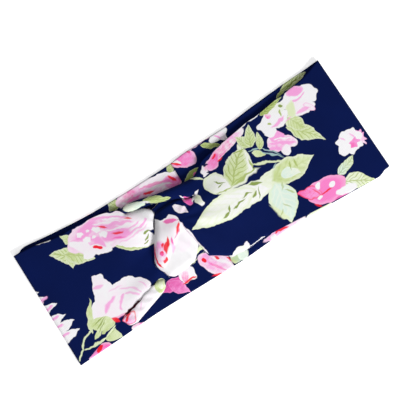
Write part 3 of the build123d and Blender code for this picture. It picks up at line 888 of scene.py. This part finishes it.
def paint_right_back():
    cloth = Print("right_back_print")
    # Along the upper edge
    cloth.petal(8.2, 37.2, -24, 21, 12.6, ROSE, PINK, BLUSH, lobes=2, rim=0.4)
    cloth.strokes(
        (2.8, 38.0, -44, 10, 3.8, WHITE), (2.6, 36.2, -42, 9.4, 2.2))
    cloth.petals(
        (13.8, 38.8, -40, 3.4, 2.6, RED, ROSE, ROSE), (22, 40.4, 2, 20, 3.2, BLUSH, PINK, BLUSH))
    cloth.leaf(29.2, 34.2, -32, 15.5, 4.2, LEAF_GREEN, OLIVE, DEEP_OLIVE, PALE_GREEN, veins=0.8)
    cloth.petal(36.4, 38.2, 4, 14.5, 7.6, WHITE, WHITE, WHITE)
    cloth.leaf(38.6, 35.4, -66, 10, 5, BLUSH, WHITE, PINK, WHITE, veins=0.3)
    cloth.stroke(35.4, 36.8, -46, 7, 1.8, PINK)
    cloth.leaf(8.4, 24.8, 14, 15, 5.2, OLIVE, OLIVE, DEEP_OLIVE, veins=0.5)
    cloth.stroke(9.8, 23.6, 40, 4, 2.2, ROSE)
    cloth.leaf(86.4, 39.2, 30, 11, 4.4, OLIVE, LEAF_GREEN, DEEP_OLIVE, veins=0.9)
    cloth.leaf(97.4, 41.4, 3, 24, 7.0, LEAF_GREEN, PALE_GREEN, DEEP_OLIVE, PALE_GREEN, veins=0.9)
    cloth.leaf(96, 38.8, 10, 12, 4.0, PALE_GREEN, LEAF_GREEN, DEEP_OLIVE, veins=0.6)
    cloth.stroke(94.4, 41.0, 14, 17, 1.5, DEEP_OLIVE, bend=-0.6)
    # Along the lower edge
    cloth.petals(
        (6.6, -36.4, 4, 14, 9.2, LEAF_GREEN, STEM_BLUE, CREAM), (8.6, -36.6, 80, 9, 7, MINT, CREAM, CREAM),
        (6.6, -33, 3, 14, 4.8, WHITE), (13.4, -32.6, 60, 4, 3.4, WHITE, BLUSH),
        (41, -38.4, -1, 34, 6, PINK, BLUSH, WHITE, 0.5))
    cloth.stroke(39, -37.6, -2, 12, 1.8, RED)
    cloth.petals(
        (32, -38.4, 0, 6, 3, WHITE, WHITE, BLUSH), (66, -40.4, 0, 24, 5, CREAM, PALE_GREEN))
    # In the part the front covers
    cloth.petal(58, 21, -14, 20, 14, WHITE, PINK)
    cloth.leaf(72, 24, 10, 18, 7)
    cloth.leaf(56, -22, 160, 20, 8)
    cloth.petal(38, -20, 14, 17, 14, PINK, WHITE)
    cloth.scatter(hidden_middle)
    return cloth.finish()


def thread_material():
    """Spun polyester: a fine slanting twist, its colour painted lighter and darker along the twist as painted
    highlight and shade, with a slight shine.
    """
    material = bpy.data.materials.new("thread")
    material.use_nodes = True
    paint = Tree(material.node_tree)
    shader = material.node_tree.nodes["Principled BSDF"]
    place = paint.node("ShaderNodeTexCoord").outputs["Object"]
    parts = paint.node("ShaderNodeSeparateXYZ", paint.scaled(place, (1 / MM, 1 / MM, 1 / MM)))
    slant = paint.math("ADD", parts.outputs[1], parts.outputs[0])
    twist = paint.math("SINE", paint.math("MULTIPLY", slant, 2 * math.pi / 0.5))
    # painted highlight and shade: the twist's ridges lighter, its grooves darker
    lit = paint.step(twist, -1.0, 1.0)
    paint.feed(shader.inputs["Base Color"], paint.mix(lit, opaque(THREAD_PAINTED_SHADE), opaque(THREAD_PAINTED_HIGHLIGHT)))
    bump = paint.node("ShaderNodeBump")
    bump.inputs["Distance"].default_value = 0.00005
    paint.feed(bump.inputs["Height"], twist)
    paint.feed(shader.inputs["Normal"], bump.outputs[0])
    shader.inputs["Roughness"].default_value = 0.5
    return material


def plain_print(name, colour):
    """The unprinted reverse of the jersey, which has the same knit."""
    cloth = Print(name)
    cloth.colour = cloth.paint.mix(cloth.noise(0.05, 2.0), opaque(colour), toned(colour, 0.86))
    return cloth.finish()


PRINTS = {"left_front": paint_left_front(), "right_front": paint_right_front(),
          "left_back": paint_left_back(), "right_back": paint_right_back()}
REVERSE = plain_print("jersey_reverse", REVERSE_WHITE)
THREAD_MATERIAL = thread_material()

# ---- The back band and the folded ends ----

GRID = 1.2
ROWS = 70


def bend_along(piece):
    """Bakes the piece's placement into its mesh."""
    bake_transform(piece)


def back_grid(side, distance):
    """Plan positions of the back band's rows at each distance from the middle."""
    share = np.linspace(0, 1, ROWS)[:, None]
    lower = edge_y(BACK_LOWER[side], distance)
    upper = edge_y(BACK_UPPER[side], distance)
    y = lower[None, :] + share * (upper - lower)[None, :]
    return np.broadcast_to(SIDES[side] * distance, y.shape), y, np.broadcast_to(distance, y.shape)


def seam_rise(distance):
    """The inner ply lifts over the turned-in ends, and dips into the seam itself."""
    return SEAM_LIFT * ease(7.0, 4.6, distance) - 0.5 * ease(1.5, 0.0, distance)


def make_back(side):
    sign = SIDES[side]
    x, y, distance = back_grid(side, np.linspace(0, CUT_X, round(CUT_X / GRID) + 1))
    still = ease(CUT_X - 2, CUT_X - 14, distance)
    inner, outer = Surface(), Surface()
    wave = 0.14 * ripple(x, y, 31, 1) * still
    inner_points = np.dstack([x, y, BACK_TOP + wave + seam_rise(distance)])
    inner.add_grid(inner_points[:, ::sign], np.dstack([x, y])[:, ::sign])
    rise = 0.08 * (1 + ripple(x, y, 37, 2)) * still + 0.35 * ease(1.5, 0.0, distance)
    cloth_x = sign * (CUT_X + END_LENGTH["outer"] + CUT_X - distance)
    outer.add_grid(np.dstack([x, y, rise])[:, ::-sign], np.dstack([cloth_x, y])[:, ::-sign])
    for name, surface, cloth in (("inner", inner, f"{side}_back"), ("outer", outer, f"{side}_front")):
        piece = make_sheet(f"{side}_back_{name}_ply", surface, PRINTS[cloth], REVERSE)
        bend_along(piece)
        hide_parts(f"{side}_{name}_ply_centre")


def end_section(radius):
    """Distance from the middle and height of a ply, from the cut in the back to that in the front."""
    run = straight((CUT_X, 0), (FOLD_X, 0), GRID)[:-1, 0]
    turn = np.linspace(-90, 90, 15)
    distance = np.concatenate([run, FOLD_X + radius * np.cos(np.radians(turn)), run[::-1]])
    turn = np.concatenate([np.full(len(run), -90), turn, np.full(len(run), 90)])
    height = FOLD_RADIUS + radius * np.sin(np.radians(turn))
    length = np.concatenate([[0], np.cumsum(np.hypot(np.diff(distance), np.diff(height)))])
    return distance, height, ease(-40, 40, turn), length


def make_end(side):
    """Each ply round the folded end, from the cut in the back to the cut in the front."""
    sign = SIDES[side]
    share = np.linspace(0, 1, ROWS)[:, None]
    top_lean, bottom_lean = FOLD_LEAN[side]
    for name, looks_out, print_name in (("outer", 1, f"{side}_front"), ("inner", -1, f"{side}_back")):
        distance, height, front, length = end_section(END_RADIUS[name])
        lower, upper = (
            (1 - front) * edge_y(back[side], distance) + front * edge_y(ahead[side], distance)
            for back, ahead in ((BACK_LOWER, FRONT_LOWER), (BACK_UPPER, FRONT_UPPER))
        )
        y = lower[None, :] + share * (upper - lower)[None, :]
        lean = (top_lean * share + bottom_lean * (1 - share)) * ease(CUT_X, FOLD_X, distance)[None, :]
        x = sign * (distance[None, :] + lean)
        from_cut = length[-1] - length if name == "outer" else length
        cloth_x = np.broadcast_to(sign * (CUT_X + from_cut)[None, :], x.shape)
        points = np.dstack([x, y, np.broadcast_to(height[None, :], x.shape)])
        surface = Surface()
        surface.add_grid(points[:, :: -sign * looks_out], np.dstack([cloth_x, y])[:, :: -sign * looks_out])
        piece = make_sheet(f"{side}_end_{name}_ply", surface, PRINTS[print_name], REVERSE)
        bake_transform(piece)
        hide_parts(f"{side}_{name}_ply_back", f"{side}_{name}_fold_lower",
                    f"{side}_{name}_fold_upper")


def make_turned_in_end(side):
    """The strip's end, turned in beside the centre-back seam between the two plies."""
    sign = SIDES[side]
    x, y, distance = back_grid(side, np.linspace(THREAD, TURNED_IN, 5))
    height = PLY + CLOTH + 0.02 * ripple(x, y, 12, 4)
    surface = Surface()
    cloth = np.dstack([x + sign * TURNED_IN_START, y])
    surface.add_grid(np.dstack([x, y, height])[:, ::sign], cloth[:, ::sign])
    piece = make_sheet(f"{side}_turned_in_end", surface, PRINTS[f"{side}_front"], REVERSE)
    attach(piece, "centre_back")
    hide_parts(f"{side}_seam_allowance")


def make_seam_thread():
    """A locked row of stitches along the seam: short twisted runs that dip at each needle hole."""
    low, high = node_box("seam_stitches")
    level = (low[2] + high[2]) / 2
    y = np.arange(low[1], high[1], 0.24)
    dip = 0.22 * np.cos(2 * math.pi * (y - low[1]) / STITCH_PITCH)
    around = np.radians(np.arange(0, 360, 45))
    vertices, faces = [], []
    for i, (place, drop) in enumerate(zip(y, dip)):
        twist = i * 0.5
        for angle in around:
            radius = THREAD / 2 * (1 + 0.18 * math.cos(2 * angle + twist))
            vertices.append((radius * math.cos(angle), place, level + drop + radius * math.sin(angle)))
    count = len(around)
    for i in range(len(y) - 1):
        for j in range(count):
            a, b = i * count + j, i * count + (j + 1) % count
            faces.append((a, b, b + count, a + count))
    mesh = bpy.data.meshes.new("seam_thread")
    mesh.from_pydata([Vector(v) * MM for v in vertices], [], faces)
    mesh.shade_smooth()
    mesh.materials.append(THREAD_MATERIAL)
    piece = bpy.data.objects.new("seam_thread", mesh)
    bpy.context.collection.objects.link(piece)
    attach(piece, "centre_back")
    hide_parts("seam_stitches")


# ---- The left front panel, its pleat, and its part of the knot ----

STEP = 1.2
LEFT_TOP_EDGE = [(-83, 36.5), (-74, 36.2), (-60, 35.0), (-50, 32.4), (-45.5, 30.0), (-42.5, 26.4),
                 (-35, 24.4), (-29.5, 22.6), (-26.4, 19.4), (-26.3, 16.4), (-28.5, 13.5)]
LEFT_HIDDEN = [(-28.5, 13.5), (-32, 8), (-34.5, -4), (-35.5, -14), (-36, -20)]
LEFT_LOW_EDGE = [(-36, -20), (-42, -23.5), (-50, -27.0), (-60, -29.6), (-72, -31.4), (-83, -32.2)]
PLEAT_TOP = [(-80.8, -34.4), (-82.0, -31.4), (-76, -29.8), (-70, -28.3), (-62, -25.6), (-52, -23.0),
             (-47.5, -22.2)]
PLEAT_TIP = [(-47.5, -22.2), (-44.4, -23.4), (-43.9, -26.0), (-45.6, -28.8), (-48.5, -30.8)]
PLEAT_LOW = [(-48.5, -30.8), (-60, -34.4), (-70, -37.6), (-75, -39.0), (-79.2, -37.6), (-80.8, -34.4)]
LEG_PATH = [(-31, 15.0), (-24, 15.2), (-12, 17.5), (-2, 18.0), (5, 14), (8, 5), (8, -5), (5, -14),
            (-2, -18.0), (-12, -18.2), (-24, -17.5), (-34, -16.5)]


def left_front_height(x, y):
    still = ease(-CUT_X + 1, -CUT_X + 14, x)
    height = FRONT_TOP + 4.2 * ease(-74, -36, x) * bell(y, 15, 14)
    height += 1.3 * ease(-78, -56, x) * bell(y, -22 + 0.2 * (x + 60), 6)
    height += 0.22 * ripple(x, y, 26, 3) * still
    fan = np.arctan2(y - 2, -(x + 20))
    height += 0.38 * np.sin(9 * fan) * ease(-80, -46, x) * still
    height += 0.22 * np.sin(17 * fan + 1) * ease(-66, -40, x) * still
    return height


def make_left_front():
    top, low = through(LEFT_TOP_EDGE, STEP), through(LEFT_LOW_EDGE, STEP)
    hidden = through(LEFT_HIDDEN, STEP)
    cut = straight((-CUT_X, LEFT_LOW_EDGE[-1][1]), (-CUT_X, LEFT_TOP_EDGE[0][1]), STEP)
    end = through(LEFT_TOP_EDGE[5:], STEP)
    outline = np.vstack([cut[:-1], top[:-1], hidden[:-1], low[:-1]])[::-1]

    def height_at(points):
        return rolled(points, left_front_height(points[:, 0], points[:, 1]), [(end, 3.4)])

    surface = Surface()
    add_plan(surface, outline, height_at, STEP)
    add_skirt(surface, end, height_at, 1.2, 80, -1)
    piece = make_sheet("left_front_outer_ply", surface, PRINTS["left_front"], REVERSE)
    bend_along(piece)
    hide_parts("left_outer_ply_front", "left_outer_ply_gather")


def front_inner_grid(stations, step=STEP):
    """Rows across a strip that narrows: x, y and level, from (x, upper y, lower y, level) stations."""
    path = through(stations, step)
    share = np.linspace(0, 1, ROWS)[:, None]
    y = path[:, 2][None, :] + share * (path[:, 1] - path[:, 2])[None, :]
    x = np.broadcast_to(path[:, 0][None, :], y.shape)
    z = np.broadcast_to(path[:, 3][None, :], y.shape)
    return x, y, z, path


def make_left_front_inner():
    """The ply under the left front, with its printed face down."""
    stations = [(-CUT_X, 36.5, -32.2, 0), (-70, 35.6, -31.0, 0), (-60, 34.4, -29.4, 0), (-50, 31.6, -26.8, 0),
                (-43, 26.6, -23.0, 0), (-36, 23.0, -19.2, 0)]
    x, y, _, _ = front_inner_grid(stations)
    height = FRONT_BOTTOM + 0.55 * (left_front_height(x, y) - FRONT_TOP) * ease(-CUT_X, -72, x)
    height = np.maximum(height, FRONT_BOTTOM)
    beyond = -(2 * CUT_X + END_LENGTH["inner"] + x)
    surface = Surface()
    surface.add_grid(np.dstack([x, y, height])[:, ::-1], np.dstack([beyond, y])[:, ::-1])
    piece = make_sheet("left_front_inner_ply", surface, PRINTS["left_back"], REVERSE)
    bend_along(piece)
    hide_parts("left_inner_ply_front", "left_inner_ply_gather")


def make_pleat():
    """The left panel's lower edge, doubled up into a soft roll that ends at the knot."""
    top, tip, low = through(PLEAT_TOP, 1.0), through(PLEAT_TIP, 1.0), through(PLEAT_LOW, 1.0)
    outline = np.vstack([top[:-1], tip[:-1], low[:-1]])[::-1]

    def height_at(points):
        x, y = points[:, 0], points[:, 1]
        crest = FRONT_TOP + 0.9 + 1.7 * ease(-82, -64, x) - 0.25 * np.sin(x * 0.55 + y)
        return rolled(points, crest, [(top, 2.2), (tip, 2.4), (low, 2.9)])

    surface = Surface()
    add_plan(surface, outline, height_at, 1.0)
    add_skirt(surface, np.vstack([tip[:-1], low[:-8]]), height_at, 1.0, 100, -1)
    piece = make_sheet("left_edge_pleat", surface, PRINTS["left_front"], REVERSE)
    bend_along(piece)
    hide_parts("left_rolled_pleat")


def pleated_profile():
    """Two soft pleats, one over the other, as (across, level) pairs over the bundle's width."""
    half, pitch, turns = 4.3, 1.25, 3
    points = []
    for layer in range(turns):
        way = 1 if layer % 2 == 0 else -1
        level = KNOT_FLOOR + layer * pitch
        for across in np.linspace(-half + 0.8, half - 0.8, 6):
            points.append((way * across, level + 0.12 * math.cos(across)))
        if layer < turns - 1:
            for turn in np.radians(np.linspace(-60, 60, 4)):
                points.append((way * (half - 0.8 + 0.62 * math.cos(turn)),
                               level + pitch / 2 * (1 + math.sin(turn))))
    for turn in np.radians((30, 60, 90, 120)):
        points.append((half - 0.8 + 0.9 * math.sin(turn), level - 0.9 * (1 - math.cos(turn))))
    return np.array(points)


def make_left_loop():
    """The left strip bunched into pleats, going round inside the right strip's loop and back."""
    path = through(LEG_PATH, 1.4)
    along = np.gradient(path, axis=0)
    along /= np.linalg.norm(along, axis=1)[:, None]
    across = np.stack([-along[:, 1], along[:, 0]], 1)
    profile = pleated_profile()
    travelled = np.concatenate([[0], np.cumsum(np.linalg.norm(np.diff(path, axis=0), axis=1))])
    unrolled = np.concatenate([[0], np.cumsum(np.linalg.norm(np.diff(profile, axis=0), axis=1))])
    squeeze = 0.62 + 0.38 * ease(0, 16, travelled)
    sway = 0.5 * np.sin(travelled / 7.0)
    points = np.zeros((len(path), len(profile), 3))
    for i, (offset, level) in enumerate(profile):
        points[:, i, :2] = path + across * (offset * (0.86 + 0.14 * ease(0, 20, travelled)) + sway)[:, None]
        points[:, i, 2] = KNOT_FLOOR + (level - KNOT_FLOOR) * squeeze
    cloth_x, cloth_y = -BUNCH_START - travelled[:, None], unrolled[None, :] + PLAIN_GROUND
    cloth = np.dstack(np.broadcast_arrays(cloth_x, cloth_y))
    surface = Surface()
    surface.add_grid(points[:, ::-1], cloth[:, ::-1])
    name = "left_knot_loop"
    piece = make_sheet(name, surface, PRINTS["left_front"], REVERSE, BUNCHED_CLOTH[name])
    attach(piece, "left_loop")
    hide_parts("left_upper_leg", "left_lower_leg", "left_loop_bend")


# ---- The right front panel and its part of the knot ----

RIGHT_TOP_EDGE = [(83, 37.7), (66, 35.2), (57, 34.8), (47, 33.3), (35, 31.6), (20, 29.2), (14.5, 26.6),
                  (8, 23.2), (0, 23.4), (-10, 24.8), (-21, 26.8), (-30, 29.4), (-40, 30.8), (-46, 29.8)]
TONGUE_END = [(-46, 29.8), (-47.5, 28), (-46, 26)]
TONGUE_LOW = [(-46, 26), (-38, 24.2), (-27, 22.6), (-19, 20.2), (-10, 16.8), (-3, 13.4), (2.5, 12.2)]
NOTCH_BACK = [(2.5, 12.2), (-3, 12.9), (-8, 15.6), (-14.0, 16.6)]
PLEAT_POINT = (-15.5, 4.6)  # where the pleat at the panel's left edge starts
JOIN = [(-14.0, 16.6), PLEAT_POINT]
LEFT_EDGE = [PLEAT_POINT, (-14.6, -2), (-13.2, -10), (-12.0, -18), (-11.2, -24), (-10.6, -26.4)]
RIGHT_LOW_EDGE = [(-10.6, -26.4), (-5, -29.8), (0, -33.2), (6, -35.2), (14, -36.2), (25, -35.4),
                  (40, -36.4), (60, -38.0), (72, -39.0), (83, -39.7)]
WRAP_TOP = [(-14.0, 16.6), (-20, 16.4), (-25, 15.8), (-28.0, 13.6)]
WRAP_LEFT = [(-28.0, 13.6), (-31, 8.5), (-33.5, 4.5), (-37.4, -1.5), (-41.3, -8), (-44.2, -13.5),
             (-43.0, -17.5), (-41.4, -21), (-40.2, -24.6)]
WRAP_LOW = [(-40.2, -24.6), (-37, -26.3), (-30, -26.0), (-22, -25.6), (-19, -24.6), (-16, -22.6),
            (-11, -23.6), (-6, -23.5)]
WRAP_UNDER = [(-6, -23.5), (-7.5, -12), (-10, 0), PLEAT_POINT]


def right_front_height(x, y):
    """The panel's level, rising from the folded end to the knot."""
    still = ease(CUT_X - 1, CUT_X - 14, x)
    dome = ease(66, 4, x) ** 1.2 * bell(y, -1, 27)
    height = FRONT_TOP + 6.4 * dome + 0.2 * ripple(x, y, 29, 5) * still
    fan = np.arctan2(y - PLEAT_POINT[1], x - PLEAT_POINT[0])
    reach = np.hypot(x - PLEAT_POINT[0], y - PLEAT_POINT[1])
    folds = np.sin(11 * fan + 0.6) * bell(reach, 16, 26) * ease(2, 9, reach)
    height = height + 0.42 * folds * ease(PLEAT_POINT[0], -8, x)
    tongue = ease(12, -4, x) * ease(11, 15, y)
    roll_level = 9.8 - 3.6 * ease(-6, -44, x)
    return height * (1 - tongue) + roll_level * tongue


def wrap_height(x, y):
    """The gathered part left of the pleat, which turns down over the band."""
    height = right_front_height(x, y)
    away = ease(0, 7, np.hypot(x - PLEAT_POINT[0], np.minimum(y - PLEAT_POINT[1], 0)))
    crest = 11.2 - 1.0 * ease(-22, -42, x) - 1.2 * ease(-6, -24, y)
    tucked = 3.4 * ease(-25, -13, x) * ease(3, -4, y)
    across = (x - PLEAT_POINT[0]) * 0.58 - y * 0.81
    crease = 1.2 * ease(1.2, -1.2, across) * ease(-14, -20, x) * ease(-42, -36, x)
    share = ease(9, -2, y) * away
    height = height * (1 - share) + (crest - tucked + crease) * share
    gathers = np.sin((x + 0.35 * y + 60) * 0.9) * ease(-2, -12, y)
    return height + 0.2 * gathers


def make_right_front():
    top, tongue_end, tongue_low = (through(edge, STEP) for edge in (RIGHT_TOP_EDGE, TONGUE_END, TONGUE_LOW))
    notch, left, low = (through(edge, STEP) for edge in (NOTCH_BACK, LEFT_EDGE, RIGHT_LOW_EDGE))
    join = straight(*JOIN, STEP)
    cut = straight((CUT_X, RIGHT_LOW_EDGE[-1][1]), (CUT_X, RIGHT_TOP_EDGE[0][1]), STEP)
    outline = np.vstack([edge[:-1] for edge in (top, tongue_end, tongue_low, notch, join, left, low, cut)])
    tongue_top = top[top[:, 0] < 14.6]
    low_near = low[low[:, 0] < 30]

    def height_at(points):
        height = right_front_height(points[:, 0], points[:, 1])
        rolls = [(tongue_top, 3.0), (tongue_end, 3.0), (tongue_low, 3.0), (notch, 2.4), (left, 1.1),
                 (low_near, 1.8)]
        return rolled(points, height, rolls)

    surface = Surface()
    add_plan(surface, outline, height_at, STEP)
    add_skirt(surface, left, height_at, 0.9, 100, 1)
    add_skirt(surface, tongue_top, height_at, 1.2, 80, 1)
    add_skirt(surface, tongue_low, height_at, 1.2, 80, 1)
    add_skirt(surface, low_near, height_at, 0.9, 80, 1)

    wrap_top, wrap_left, wrap_low, under = (
        through(edge, STEP) for edge in (WRAP_TOP, WRAP_LEFT, WRAP_LOW, WRAP_UNDER))
    wrap_outline = np.vstack([edge[:-1] for edge in (wrap_top, wrap_left, wrap_low, under, join[::-1])])

    def wrap_height_at(points):
        height = wrap_height(points[:, 0], points[:, 1])
        return rolled(points, height, [(wrap_top, 2.4), (wrap_left, 4.6), (wrap_low, 4.8)])

    add_plan(surface, wrap_outline, wrap_height_at, STEP)
    add_skirt(surface, wrap_left, wrap_height_at, 1.0, 90, 1)
    add_skirt(surface, wrap_low, wrap_height_at, 1.8, 90, 1)
    piece = make_sheet("right_front_outer_ply", surface, PRINTS["right_front"], REVERSE)
    bend_along(piece)
    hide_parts("right_outer_ply_front", "right_outer_ply_gather", "right_front_edge",
                "right_knot_wrap", "right_wrap_roll")


def make_right_front_inner():
    """The ply under the right front: it narrows under the knot and turns up into the wrap."""
    stations = [(CUT_X, 37.7, -39.7, 0), (70, 35.6, -38.8, 0), (58, 34.2, -37.6, 0), (46, 32.6, -36, 0.05),
                (30, 27.5, -31, -0.15), (12, 20.5, -23.5, -0.35), (-8, 13, -14.5, -0.4), (-24, 9, -9, -0.4)]
    x, y, level, path = front_inner_grid(stations)
    bunch = 0.2 * np.sin(y * 1.05 + 0.1 * x) * ease(40, 0, x)
    height = FRONT_BOTTOM + level + bunch
    turn = np.radians(np.linspace(-90, 60, 12))[1:]
    rise_x = -24 - 4.2 * np.cos(turn)
    rise_z = height[:, -1:] + 3.2 * (1 + np.sin(turn))[None, :]
    x = np.hstack([x, np.broadcast_to(rise_x[None, :], (ROWS, len(turn)))])
    y = np.hstack([y, np.broadcast_to(y[:, -1:], (ROWS, len(turn)))])
    height = np.hstack([height, rise_z])
    step = np.hypot(np.diff(x[0]), np.diff(height[0]))
    travelled = np.concatenate([[0], np.cumsum(step)])
    beyond = np.broadcast_to(CUT_X + END_LENGTH["inner"] + travelled[None, :], x.shape)
    surface = Surface()
    surface.add_grid(np.dstack([x, y, height]), np.dstack([beyond, y]))
    name = "right_front_inner_ply"
    piece = make_sheet(name, surface, PRINTS["right_back"], REVERSE, BUNCHED_CLOTH[name])
    bend_along(piece)
    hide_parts("right_inner_ply_front", "right_inner_ply_gather", "right_return_leg",
                "right_loop_bend")


for side in SIDES:
    make_back(side)
    make_end(side)
    make_turned_in_end(side)
make_seam_thread()
make_left_front()
make_left_front_inner()
make_pleat()
make_left_loop()
make_right_front()
make_right_front_inner()

# ---- Camera, floor and light ----

PHOTO_TURN = math.radians(-32)  # the band climbs to the right in the view
VIEW_WIDTH = 274.3  # millimetres across the view
LENS = 135.0
AIM = (5.4, 0.5)


def make_camera():
    camera = bpy.data.cameras.new("camera")
    camera.lens = LENS
    camera.clip_start = 0.01
    rig = bpy.data.objects.new("camera", camera)
    bpy.context.collection.objects.link(rig)
    distance = VIEW_WIDTH * LENS / camera.sensor_width
    rig.location = Vector((AIM[0], AIM[1], distance)) * MM
    rig.rotation_euler = (0, 0, PHOTO_TURN)
    bpy.context.scene.camera = rig


def make_floor():
    mesh = bpy.data.meshes.new("floor")
    half = 3.0
    level = -0.0003
    corners = [(-half, -half, level), (half, -half, level), (half, half, level), (-half, half, level)]
    mesh.from_pydata(corners, [], [(0, 1, 2, 3)])
    paper = bpy.data.materials.new("paper")
    paper.use_nodes = True
    shader = paper.node_tree.nodes["Principled BSDF"]
    shader.inputs["Base Color"].default_value = (0.94, 0.94, 0.94, 1)
    shader.inputs["Emission Color"].default_value = (1, 1, 1, 1)
    shader.inputs["Emission Strength"].default_value = 0.45
    mesh.materials.append(paper)
    floor = bpy.data.objects.new("floor", mesh)
    bpy.context.collection.objects.link(floor)


def make_light(name, place, size, power):
    light = bpy.data.lights.new(name, "AREA")
    light.size = size
    light.energy = power
    lamp = bpy.data.objects.new(name, light)
    bpy.context.collection.objects.link(lamp)
    lamp.location = place
    lamp.rotation_euler = (-Vector(place)).to_track_quat("-Z", "Y").to_euler()


make_camera()
make_floor()
make_light("key", (0.25, -0.85, 0.75), 0.35, 14.8)
make_light("fill", (-0.5, -0.2, 1.2), 1.0, 5.4)
world = bpy.data.worlds.new("studio")
world.use_nodes = True
world.node_tree.nodes["Background"].inputs["Color"].default_value = (1, 1, 1, 1)
world.node_tree.nodes["Background"].inputs["Strength"].default_value = 0.2
bpy.context.scene.world = world
bpy.context.scene.view_settings.view_transform = "Standard"
